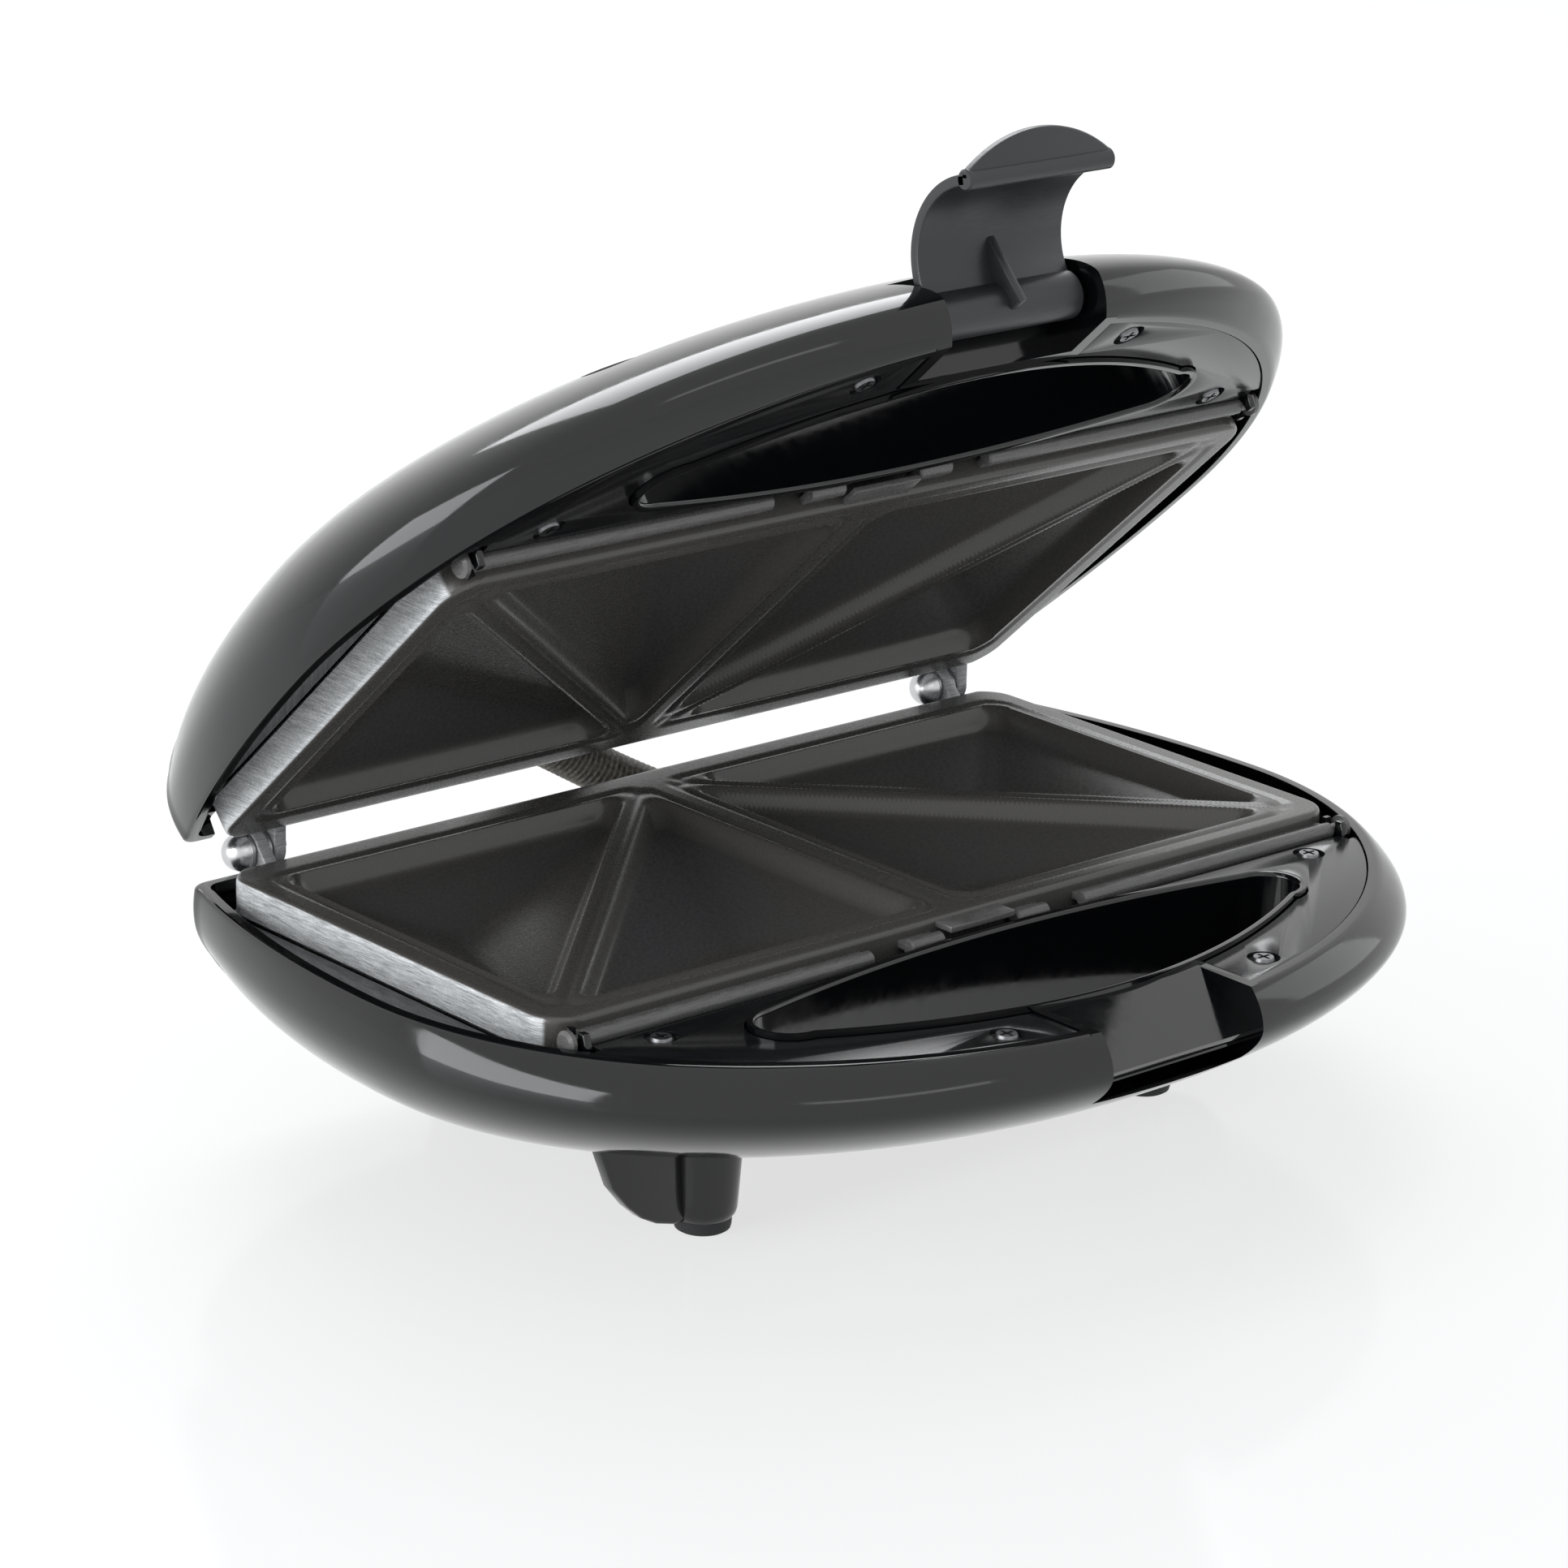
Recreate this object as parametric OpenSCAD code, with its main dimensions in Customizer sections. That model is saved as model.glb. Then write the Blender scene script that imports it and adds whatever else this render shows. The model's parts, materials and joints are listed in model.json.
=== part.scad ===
// Two-slice sandwich toaster, lid standing open, millimetres.
// Both halves are drawn in a half frame: X to the right, Y to the back from
// the front edge of the cooking plates, and h (drawn as Z) outwards from the
// plate's face. in_base() and in_lid() then set each half in its place.

/* [Cooking plates] */
// Width of a cooking plate
plate_w = 220; // [204:1:236]
// Depth of a cooking plate, front to back
plate_d = 112; // [106:1:122]
// Height of the bare cast side of a plate
plate_side = 7.5; // [6:0.5:10]
// Thickness of the cast metal
plate_wall = 3; // [2:0.25:4]
// Radius of a plate's corners seen from above
plate_corner = 8; // [4:0.5:12]
// Flat sealing border round the pockets
pocket_border = 6; // [4:0.5:8]
// Width of the sealing ridges between the pockets
ridge_w = 6; // [4:0.5:8]
// Depth of the steep edge round each pocket
pocket_edge = 5; // [3:0.5:6]
// Depth of a pocket at its middle
pocket_deep = 12; // [9:0.5:13]
// Gap between the two closed plates
face_gap = 1.5; // [0.5:0.25:2.5]

/* [Housing] */
// Width across the housings
body_w = 255; // [248:1:270]
// How far the housings reach in front of the plates
nose = 67; // [64:0.5:72]
// How far the rear walls stand behind the plates
tail = 6; // [5.5:0.5:9]
// Depth of the lower housing from the plate's face
base_deep = 45; // [42:0.5:48]
// Depth of the lid from the plate's face
lid_deep = 47; // [44:0.5:52]
// Wall of the moulded housings
wall = 2.5; // [2:0.25:3]
// Depth of the rim below the plate's face
rim_h = 3.5; // [3:0.25:4.5]
// Height of the plate's face above the table
face_z = 58; // [57:0.5:66]

/* [Grip] */
// Width of the crescent finger hole
grip_w = 148; // [130:1:156]
// Distance of the finger hole from the plates
grip_gap = 7.5; // [7.5:0.5:9]
// Size of the finger hole from back to front
grip_d = 38; // [34:0.5:39]

/* [Hinge] */
// Angle of the lid from closed, as it stands
lid_open = 42.2; // [10:0.5:90]
// Height of the hinge pins' centre line behind the plates
hinge_back = 6.5; // [6:0.25:8]
// Distance of each hinge in from the plate's side
hinge_in = 12; // [10:0.5:22]
// Radius of a hinge pin
pin_r = 2; // [1.5:0.1:2.5]
// Thickness of a cast hinge lug
lug_t = 3; // [2:0.25:4]
// Radius of a lug's round end
lug_r = 4.5; // [4:0.25:5]

/* [Latch] */
// Width of the latch
latch_w = 39; // [34:0.5:44]
// Radius of the curved latch shell, to its middle
latch_r = 16.8; // [16:0.1:17.5]
// Thickness of the latch shell
latch_t = 2.4; // [2:0.1:3]
// Turn of the latch from open to hooked
latch_turn = 111; // [105:1:115]

/* [Feet] */
// Distance of the front feet from the middle
foot_x = 63; // [52:1:68]
// Radius of a front foot post at the floor
foot_r = 7.2; // [6:0.1:8]
// Thickness of the rubber tips
foot_tip = 3; // [2:0.25:4]

/* [Wire conduit] */
// Outer diameter of the ribbed sleeve
conduit_d = 11; // [9:0.5:12]
// Number of ribs along the sleeve
conduit_ribs = 56; // [40:1:90]

/* [Cord outlet] */
// Radius of the bore that the mains lead passes
cord_r = 3.3; // [2.8:0.1:3.8]
// Length of that bore
cord_bore = 16; // [14:0.5:20]

/* [Hidden] */
$fn = 40;
// Clearances
fit = 0.4;            // between parts that drop together
run = 0.08;           // radial, round a turning pin
// Middle of the open toaster, from the plates' front edge
stance_y = 36.6;
hinge_y = plate_d + hinge_back;
mid_h = -face_gap / 2;            // hinge line in the half frame
hinge_x = plate_w / 2 - hinge_in;
lug_gap = 0.1;
washer_t = 1;
dome_h = 4.4;
dome_r = 4.2;

black = "#141416";
cast = "#4a4745";
steel = "#b9bcc0";

// ---------------------------------------------------------------- placing
module in_base() translate([0, -stance_y, face_z]) mirror([0, 0, 1]) children();

module in_lid()
    translate([0, hinge_y - stance_y, face_z + face_gap / 2])
        rotate([-lid_open, 0, 0])
            translate([0, -hinge_y, face_gap / 2]) children();

module both_sides() {
    children();
    mirror([1, 0, 0]) children();
}

// ---------------------------------------------------------------- lofting
// A closed solid through rings of equal length, each counter-clockwise
module loft(rings) {
    n = len(rings[0]);
    m = len(rings);
    walls = [for (k = [0:m - 2], i = [0:n - 1])
        let (j = (i + 1) % n, a = k * n + i, b = k * n + j)
            each [[a, a + n, b + n], [a, b + n, b]]];
    polyhedron(points = [for (r = rings) each r],
        faces = concat([[for (i = [0:n - 1]) i]], walls,
            [[for (i = [n - 1:-1:0]) (m - 1) * n + i]]));
}

function lift(points, h) = [for (p = points) [p.x, p.y, h]];

// Each point moved outwards by d along the outline's normal
function grown(points, d) =
    let (n = len(points))
        [for (i = [0:n - 1])
            let (t = points[(i + 1) % n] - points[(i + n - 1) % n])
                points[i] + d * [t.y, -t.x] / norm(t)];

// ---------------------------------------------------------------- housing form
nose_n = 30;          // steps round the front
side_n = 5;           // steps along a side
corner_n = 3;         // steps round a rear corner
belly_h = 12;         // depth at which the housings are widest
side_tuck = 2;        // how much narrower the rim is than the belly, at the sides
nose_tuck = 3.5;      // and in front
nose_full = 0.17;     // how much fuller than an ellipse the belly is
full_fade = 34;       // depth over which that fullness fades
rear_taper = 0.03;    // how much the rear corners draw in with depth
rear_corner = 4;
nose_share = 0.567;   // share of the length in front of the widest place
rear = plate_d + tail;

function side_x(y, w, front, back, taper) =
    let (mid = front + nose_share * (back - front))
        w * sqrt(1 - pow((y - mid) / (back - front), 2))
            * (1 - taper * pow((y - mid) / (back - mid), 2));

function sign_pow(v, p) = sign(v) * pow(abs(v), p);

// Half ellipse in front (fuller with power over 2), gently drawn-in sides, straight rear wall
function outline(w, front, back, corner, power, taper) =
    let (mid = front + nose_share * (back - front),
        bend = back - corner,
        cx = side_x(bend, w, front, back, taper) - corner,
        right = [for (i = [1:side_n])
                let (y = mid + (bend - mid) * i / side_n) [side_x(y, w, front, back, taper), y]],
        turn = [for (i = [1:corner_n])
                let (a = 90 * i / corner_n) [cx + corner * cos(a), bend + corner * sin(a)]],
        half = concat(right, turn))
        concat([for (i = [0:nose_n])
                let (a = 180 + 180 * i / nose_n)
                    [w * sign_pow(cos(a), 2 / power), mid + (mid - front) * sign_pow(sin(a), 2 / power)]],
            half, [for (i = [len(half) - 1:-1:0]) [-half[i].x, half[i].y]]);

function fall(q, p) = pow(1 - pow(min(1, max(0, q)), p), 1 / p);

// form = [depth, crown, half width, front and back of the flat, side, front and back powers]
base_form = [base_deep, 0, 58, 34, 94, 1.8, 1.6, 2.6];
lid_form = [lid_deep, 2, 45, 35, 82, 1.9, 1.5, 2.6];

function body_ring(h, form, inset) =
    let (deep = form[0] - inset,
        q = (h - belly_h) / (deep - belly_h),
        up = pow(max(0, (belly_h - h) / (belly_h - rim_h)), 2),
        full = nose_full * (h < belly_h ? 1 - up : max(0, cos(90 * (h - belly_h) / full_fade))),
        w = form[2] + (body_w / 2 - form[2]) * fall(q, form[5]) - side_tuck * up - inset,
        front = form[3] - (form[3] + nose) * fall(q, form[6]) + nose_tuck * up + inset,
        back = form[4] + (rear - form[4]) * fall(q, form[7]) - inset,
        taper = rear_taper * min(1, (h - rim_h) / 16))
        lift(outline(w, front, back, rear_corner + 14 * (1 - fall(q, 2)), 2 + full, taper), h);

wall_steps = [0, 0.05, 0.14, 0.26, 0.38, 0.5, 0.62, 0.73, 0.83, 0.91, 0.965, 1];
crown_steps = [0.35, 0.7, 0.94];

// The housing's outer form, or its inside with inset = wall
module body(form, inset, from) {
    deep = form[0] - inset;
    rings = [for (s = wall_steps) body_ring(from + s * (deep - from), form, inset)];
    top = rings[len(rings) - 1];
    mid = [0, (form[3] + form[4]) / 2];
    crown = form[1] == 0 ? [] :
        [for (s = crown_steps)
            [for (p = top) [mid.x + (p.x - mid.x) * (1 - s), mid.y + (p.y - mid.y) * (1 - s),
                deep + form[1] * (1 - pow(1 - s, 2))]]];
    loft(concat(rings, crown));
}

module rim_2d(inset) polygon([for (p = body_ring(rim_h, base_form, inset)) [p.x, p.y]]);

// ---------------------------------------------------------------- finger hole
grip_far = -grip_gap;
grip_near = grip_far - grip_d;
grip_end = 7.5;                 // length of the rounded ends
grip_n = 10;
far_bow = 7;                    // how far the rear edge curves back
near_bow = 17.5;                // how far the front edge bulges

function grip_outline() =
    let (e = grip_w / 2 - grip_end,
        far_e = grip_far - far_bow,
        near_e = grip_near + near_bow,
        mid = (far_e + near_e) / 2,
        half = (far_e - near_e) / 2)
        concat([for (i = [-grip_n:grip_n]) let (s = i / grip_n) [e * s, grip_near + near_bow * s * s]],
            [for (a = [-60:30:60]) [e + grip_end * cos(a), mid + half * sin(a)]],
            [for (i = [grip_n:-1:-grip_n]) let (s = i / grip_n) [e * s, grip_far - far_bow * s * s]],
            [for (a = [120:30:240]) [-e + grip_end * cos(a), mid + half * sin(a)]]);

grip_wall = 1.8;
module grip_2d(grow) polygon(grown(grip_outline(), grow));

// ---------------------------------------------------------------- latch places
axis_y = -57;
axis_h = 12.5;
barrel_r = 5;
arc_c = [-18.5, 1];             // centre of the shell's curve from the axis, latch open
arc_from = -4;
arc_to = 122;
bead_r = 2.2;
recess_w = latch_w + 3;
function turned(p, a) = [p.x * cos(a) - p.y * sin(a), p.x * sin(a) + p.y * cos(a)];
// The same places when the lid is shut and the latch hooked, in the base's half frame
hook_c = let (c = turned(arc_c, latch_turn)) [axis_y + c.x, -(axis_h + face_gap + c.y)];
bead_at = let (b = arc_c + latch_r * [cos(arc_to), sin(arc_to)], c = turned(b, latch_turn))
    [axis_y + c.x, -(axis_h + face_gap + c.y)];
lip_h = 12.2;                   // depth of the ledge that the bead hooks under
recess_back = -47.5;

// ---------------------------------------------------------------- small places
screw_at = [[91, -10.6], [36, -50.8]];
screw_head_r = 2.9;
screw_r = 1.4;
boss_r = 3.6;
panel_t = 2;
panel_h = rim_h + 0.3;
panel_back = -6.3;

bead_y = -3.2;                  // round bar along a plate's front edge
bead_h = 3.4;
bar_r = 1.8;
neck_r = 1.3;
knob_r = 2.7;
knob_w = 2;
cradle_t = 1.8;
cradle_x = plate_w / 2 - 3.8;
knob_from = cradle_x + cradle_t / 2 + 0.5;
knob_to = knob_from + knob_w;

tray_h = 25;                    // underside of the reflector tray
tray_t = 0.8;
tray_in = 0;                    // tray's edge inside the plate's edge
tray_draft = 11;                // how much its sides lean in
tray_gap = 0.3;                 // tray to the housing's wall
tray_notch = [10, 20];          // notch for the conduit, in Y and h
heater_r = 3.2;
heater_h = 19.2;
heater_in = [29, 28];            // runs' distance from the plate's front and rear edges
heater_y = [heater_in[0], plate_d - heater_in[1]];
heater_x = plate_w / 2 - 40;
stud_y = plate_d / 2 + 1;
stud_at = [[26 - plate_w / 2, stud_y], [0, stud_y], [plate_w / 2 - 26, stud_y]];
stud_r = 4.2;

gland = [62, 22];               // x and depth of the cord outlet

foot_y = 9;
leg_x = 50;
leg_y = 98;
leg_w = 26;
leg_d = 14;

deck_h = plate_side + 0.1;      // ledge between a housing's wall and its plate
deck_t = 1.6;
deck_gap = 1.3;

// Conduit's ends: x, y and depth in each half
conduit_end = [36, plate_d + 0.5, 18];

// ---------------------------------------------------------------- housings
module half_shell(form) {
    difference() {
        body(form, 0, rim_h);
        body(form, wall, rim_h - 1);
    }
}

// Walls and bosses inside a half: finger hole wall, screw bosses and bead cradles
module half_inner(form) {
    intersection() {
        body(form, 0.02, rim_h);
        union() {
            translate([0, 0, rim_h - 1]) linear_extrude(form[0] + 5) grip_2d(grip_wall);
            translate([0, 0, deck_h]) linear_extrude(deck_t) difference() {
                translate([-150, -9]) square([300, 200]);
                translate([-plate_w / 2 - deck_gap, -deck_gap])
                    square([plate_w + 2 * deck_gap, plate_d + 2 * deck_gap]);
            }
            both_sides() {
                for (p = screw_at)
                    translate([p.x, p.y, panel_h + panel_t]) cylinder(r = boss_r, h = form[0]);
                translate([cradle_x - cradle_t / 2, bead_y - 4.5, rim_h + 0.5])
                    cube([cradle_t, 4.5 - bead_y - fit, form[0]]);
            }
        }
    }
    both_sides()
        translate([cradle_x - cradle_t / 2, bead_y - 3.2, bead_h - 2.4])
            cube([cradle_t, 3.2 - bead_y - fit, 8]);
}

module half_cuts() {
    translate([0, 0, -5]) linear_extrude(80) grip_2d(0);
    both_sides() {
        for (p = screw_at) translate([p.x, p.y, 0]) cylinder(r = screw_r + 0.05, h = 17);
        // U slot for the neck of the plate's front bar
        translate([cradle_x - 3, bead_y - neck_r - 0.15, -3])
            cube([6, 2 * neck_r + 0.3, bead_h + 3]);
        translate([cradle_x - 3, bead_y, bead_h]) rotate([0, 90, 0]) cylinder(r = neck_r + 0.15, h = 6);
    }
}

module base_recess_2d()
    union() {
        polygon([[recess_back, -2], [recess_back, rim_h], [hook_c.x - 12.4, lip_h],
            [-90, lip_h], [-90, -2]]);
        difference() {
            translate(hook_c) circle(r = latch_r + latch_t / 2 + 0.7);
            translate(hook_c) circle(r = latch_r - latch_t / 2 - 0.5);
            translate([recess_back, -30]) square([60, 90]);
            translate([-200, bead_at.y + bead_r]) square([400, 60]);
        }
        translate(bead_at) circle(r = bead_r + 0.5);
        translate([-90, bead_at.y - 3]) square([90 + bead_at.x, 8]);
    }

// A profile in Y and h, run along X
module along_x(w) rotate([90, 0, 90]) translate([0, 0, -w / 2]) linear_extrude(w) children();

module base_housing() color(black) in_base() {
    difference() {
        union() {
            half_shell(base_form);
            half_inner(base_form);
            intersection() {
                body(base_form, 0.02, rim_h);
                union() {
                    // walls round the latch recess
                    along_x(recess_w + 2 * wall)
                        polygon([[recess_back + wall, rim_h], [recess_back + wall, 7],
                            [bead_at.x + 6, bead_at.y + 6], [-80, 26], [-80, rim_h]]);
                    // ribs that carry the reflector tray
                    for (s = [-1, 1]) translate([s * 60 - 1, 20, tray_h + fit]) cube([2, 80, 40]);
                }
            }
            difference() {
                both_sides() {
                    front_post();
                    rear_leg();
                }
                body(base_form, wall, rim_h - 1);
            }
        }
        half_cuts();
        along_x(recess_w) base_recess_2d();
        // notches for the hinges
        for (x = stack_x) translate([x + dome_h - 0.5, rear - wall - 4, -2])
            cube([stack - dome_h + 4, 10, plate_side + 4]);
        // notch for the conduit, and the seat of the cord gland
        translate([0, rear - wall - 6, -1]) cube([conduit_end.x + 6, 14, conduit_end.z + 7]);
        translate([gland.x - 7, rear - wall - 4, gland.y - 6]) cube([14, 12, 12]);
    }
}

// Tapered post with its gusset, down to the rubber tip
module front_post() {
    top = 30;
    end = face_z - foot_tip;
    translate([foot_x, foot_y, top]) cylinder(r1 = foot_r + 1.6, r2 = foot_r, h = end - 2 - top);
    translate([foot_x, foot_y, end - 2]) cylinder(r1 = foot_r, r2 = foot_r - 1, h = 2);
    translate([foot_x, foot_y + 2, 0]) rotate([90, 0, 0]) linear_extrude(4)
        polygon([[0, top], [30, top], [25, end - 12], [21, end - 7], [17.5, end - 3.8], [13.5, end - 1.6],
            [9, end - 0.3], [0, end - 0.3]]);
}

// Wide rear leg with a waist that the lead winds round
module rear_leg()
    translate([leg_x, leg_y, 0]) rotate([90, 0, 0]) translate([0, 0, -leg_d / 2])
        linear_extrude(leg_d)
            polygon([[-leg_w / 2, 20], [leg_w / 2, 20], [leg_w / 2 - 1, 44], [leg_w / 2 - 3, 49],
                [leg_w / 2 - 1, 54], [leg_w / 2, face_z - foot_tip], [-leg_w / 2, face_z - foot_tip],
                [-leg_w / 2 + 1, 54], [-leg_w / 2 + 3, 49], [-leg_w / 2 + 1, 44]]);

module rubber_feet() color("#1b1b1c") in_base() both_sides() {
    translate([foot_x, foot_y, face_z - foot_tip])
        cylinder(r1 = foot_r - 1.1, r2 = foot_r - 1.7, h = foot_tip);
    translate([leg_x - leg_w / 2 + 3, leg_y - leg_d / 2 + 3, face_z - foot_tip])
        cube([leg_w - 6, leg_d - 6, foot_tip]);
}

lid_relief = plate_w / 2 - 3;    // half width of the relief in the lid's rear wall
lid_back = -49;                 // rear edge of the lid's latch recess at the rim
module lid_recess_2d()
    union() {
        polygon([[-nose - 28, -4], [lid_back, -4], [lid_back, rim_h + 1],
            [axis_y + barrel_r + 1, axis_h - 3], [axis_y + barrel_r + 1, axis_h + 2], [axis_y + 3.5, axis_h + 12], [axis_y - 1, lid_deep - 7],
            [-nose - 28, lid_deep - 7]]);
        translate([axis_y, axis_h]) circle(r = barrel_r + 0.8);
    }

module lid_housing() color(black) in_lid()
    difference() {
        union() {
            half_shell(lid_form);
            half_inner(lid_form);
            intersection() {
                body(lid_form, 0.02, rim_h);
                along_x(recess_w + 2 * wall + 2)
                    polygon([[lid_back + wall, rim_h], [axis_y + barrel_r + 4, axis_h + 1],
                        [axis_y + 6.5, axis_h + 14], [axis_y, lid_deep - 7], [-nose - 28, lid_deep - 7],
                        [-nose - 28, rim_h]]);
            }
        }
        half_cuts();
        along_x(recess_w) lid_recess_2d();
        translate([0, axis_y, axis_h]) rotate([0, 90, 0])
            cylinder(r = 1.5, h = recess_w + 2 * wall, center = true);
        translate([-conduit_end.x - 6, rear - wall - 6, -1])
            cube([conduit_end.x - 2, 14, conduit_end.z + 7]);
        // the rear wall stands clear of the hinges between its corners
        translate([0, rear, 0]) rotate([90, 0, 0]) linear_extrude(2 * wall + 6, center = true)
            polygon([[-lid_relief, -2], [lid_relief, -2], [lid_relief - 1, 7], [lid_relief - 5, 11],
                [5 - lid_relief, 11], [1 - lid_relief, 7]]);
        for (x = lamp_x) translate([x, lamp_y, 0]) cylinder(r = lamp_r + 0.15, h = 80);
    }

// ---------------------------------------------------------------- panels
module panel_2d()
    difference() {
        intersection() {
            rim_2d(wall + fit);
            translate([-150, -150]) square([300, 150 + panel_back]);
        }
        grip_2d(grip_wall + fit);
        both_sides() {
            for (p = screw_at) translate(p) circle(r = screw_r + 0.25);
            translate([cradle_x - cradle_t / 2 - fit, bead_y - 6]) square([40, 8]);
        }
    }

module panel(back, w)
    difference() {
        translate([0, 0, panel_h]) linear_extrude(panel_t) difference() {
            panel_2d();
            translate([-w / 2, -150]) square([w, 150 + back]);
        }
        both_sides() for (p = screw_at)
            translate([p.x, p.y, panel_h - 1]) cylinder(r = screw_head_r + 0.6, h = 2);
    }

module base_panel() color("#1a1a1c") in_base()
    panel(recess_back + wall + fit, recess_w + 2 * wall + 2 * fit);
module lid_panel() color("#1a1a1c") in_lid()
    panel(lid_back + wall + fit, recess_w + 2 * wall + 2 + 2 * fit);

module cross_screw(len) {
    difference() {
        cylinder(r1 = screw_head_r - 0.5, r2 = screw_head_r, h = 1.6);
        translate([0, 0, -0.1]) for (a = [0, 90]) rotate(a) translate([-1.7, -0.3, 0]) cube([3.4, 0.6, 1]);
    }
    translate([0, 0, 1.5]) cylinder(r = screw_r, h = len);
}

panel_screw_len = 11;
module panel_screws() both_sides()
    for (p = screw_at) translate([p.x, p.y, panel_h - 0.6]) cross_screw(panel_screw_len);
module base_panel_screws() color(steel) in_base() panel_screws();
module lid_panel_screws() color(steel) in_lid() panel_screws();

// ---------------------------------------------------------------- plates
slice_w = plate_w / 2 - pocket_border - ridge_w / 2;
// Corners of a slice: rear middle, rear outer, front outer, front middle
slice = [[-ridge_w / 2, plate_d - pocket_border - 2],
    [-plate_w / 2 + pocket_border, plate_d - pocket_border - 2],
    [-plate_w / 2 + pocket_border, pocket_border - 1], [-ridge_w / 2, pocket_border - 1]];
pocket_a = [slice[0], slice[1], slice[2]];
pocket_b = [slice[0], slice[2], slice[3]];

function tri_centre(t) =
    let (a = norm(t[1] - t[2]), b = norm(t[2] - t[0]), c = norm(t[0] - t[1]))
        (a * t[0] + b * t[1] + c * t[2]) / (a + b + c);
function tri_inradius(t) =
    let (a = norm(t[1] - t[2]), b = norm(t[2] - t[0]), c = norm(t[0] - t[1]),
        s = (a + b + c) / 2) sqrt((s - a) * (s - b) * (s - c) / s);
corner_steps = 3;
// A triangle with round corners, its sides moved in by d
function tri_ring(t, d, r, h) =
    let (c = tri_centre(t), k = (tri_inradius(t) - d - r) / tri_inradius(t))
        [for (i = [0:2])
            let (p = c + k * (t[i] - c),
                u = t[i] - t[(i + 2) % 3], v = t[(i + 1) % 3] - t[i],
                a0 = atan2(u.y, u.x) - 90, dv = atan2(v.y, v.x) - 90 - a0,
                turn = dv < 0 ? dv + 360 : dv)
                for (j = [0:corner_steps])
                    let (a = a0 + turn * j / corner_steps) [p.x + r * cos(a), p.y + r * sin(a), h]];

// One pocket: steep edge, then a shallow pyramid; skin moves it outwards for its underside
module pocket(t, skin) {
    side = skin > 0 ? [ridge_w / 2 + 0.2, plate_side - 1] : [ridge_w / 2, -1];
    loft([tri_ring(t, -skin + (skin > 0 ? 0 : ridge_w / 2 - 0.6), 5 + skin, side[1]),
        tri_ring(t, -skin + ridge_w / 2, 4.5 + skin, 0.01 + max(side[1] + 0.5, 0)),
        tri_ring(t, -skin + ridge_w / 2 + 2, 3.5 + skin, pocket_edge + skin),
        tri_ring(t, tri_inradius(t) - 1.6, 0.9, pocket_deep + skin)]);
}

module pockets(skin) both_sides() {
    pocket(pocket_a, skin);
    pocket(pocket_b, skin);
}

module rounded_slab(w, d, r, t)
    linear_extrude(t) union() {
        translate([-w / 2 + r, 0]) square([w - 2 * r, d]);
        translate([-w / 2, r]) square([w, d - 2 * r]);
        for (x = [-1, 1], y = [r, d - r]) translate([x * (w / 2 - r), y]) circle(r = r);
    }

module hinge_lug(x)
    translate([x, 0, 0]) rotate([90, 0, 90]) linear_extrude(lug_t) difference() {
        union() {
            translate([hinge_y, mid_h]) circle(r = lug_r);
            polygon([[plate_d - 1, 1], [plate_d - 1, plate_side - 0.2], [hinge_y + 1.5, mid_h + 4.1],
                [hinge_y - 3, mid_h - 3.2]]);
        }
        translate([hinge_y, mid_h]) circle(r = pin_r + run);
    }

// Round bar, necks and end knobs along the front edge
module front_bar() {
    both_sides() {
        translate([30, bead_y, bead_h]) rotate([0, 90, 0]) cylinder(r = bar_r, h = cradle_x - 1.2 - 30);
        translate([30, bead_y, bead_h]) rotate([0, 90, 0]) cylinder(r = neck_r, h = knob_to - 31);
        translate([knob_from, bead_y, bead_h]) rotate([0, 90, 0])
            cylinder(r = knob_r, h = knob_to - knob_from);
        translate([30, bead_y, bead_h - 0.8]) cube([cradle_x - 1.2 - 30, -bead_y + 1, 1.6]);
        translate([10.5, bead_y, bead_h]) rotate([0, 90, 0]) cylinder(r = bar_r, h = 9);
        translate([10.5, bead_y, bead_h - 0.8]) cube([9, -bead_y + 1, 1.6]);
    }
    // centre tab that rests on the finger hole's wall
    translate([-9, bead_y - bar_r, 0.6]) cube([18, -bead_y + bar_r + 1, 1.4]);
}

module plate(lug_x) {
    difference() {
        union() {
            rounded_slab(plate_w, plate_d, plate_corner, plate_side);
            pockets(plate_wall);
            // cast seats for the heater and studs for the tray
            for (y = heater_y) translate([-heater_x, y - 4.5, plate_side - 1])
                cube([2 * heater_x, 9, heater_h - plate_side + 1]);
            for (p = stud_at) translate([p.x, p.y, plate_side - 1])
                cylinder(r = stud_r, h = tray_h - tray_t - plate_side + 1);
        }
        // hollow under the flat border
        pockets(0);
        for (y = heater_y) translate([-heater_x - 1, y, heater_h]) rotate([0, 90, 0])
            cylinder(r = heater_r, h = 2 * heater_x + 2);
        for (p = stud_at)
            translate([p.x, p.y, pocket_deep + plate_wall + 1]) cylinder(r = screw_r + 0.05, h = 20);
    }
    front_bar();
    for (x = lug_x) hinge_lug(x);
}

// Stack of each hinge, from the domed head at the left to the riveted end
stack = dome_h + 2 * washer_t + 2 * lug_t + 4 * lug_gap;
stack_x = [for (s = [-1, 1]) s * hinge_x - stack / 2];
function base_lug_x() = [for (x = stack_x) x + dome_h + washer_t + 2 * lug_gap];
function lid_lug_x() = [for (x = stack_x) x + dome_h + 2 * washer_t + lug_t + 4 * lug_gap];

module base_plate() color(cast) in_base() plate(base_lug_x());
module lid_plate() color(cast) in_lid() plate(lid_lug_x());

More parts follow.
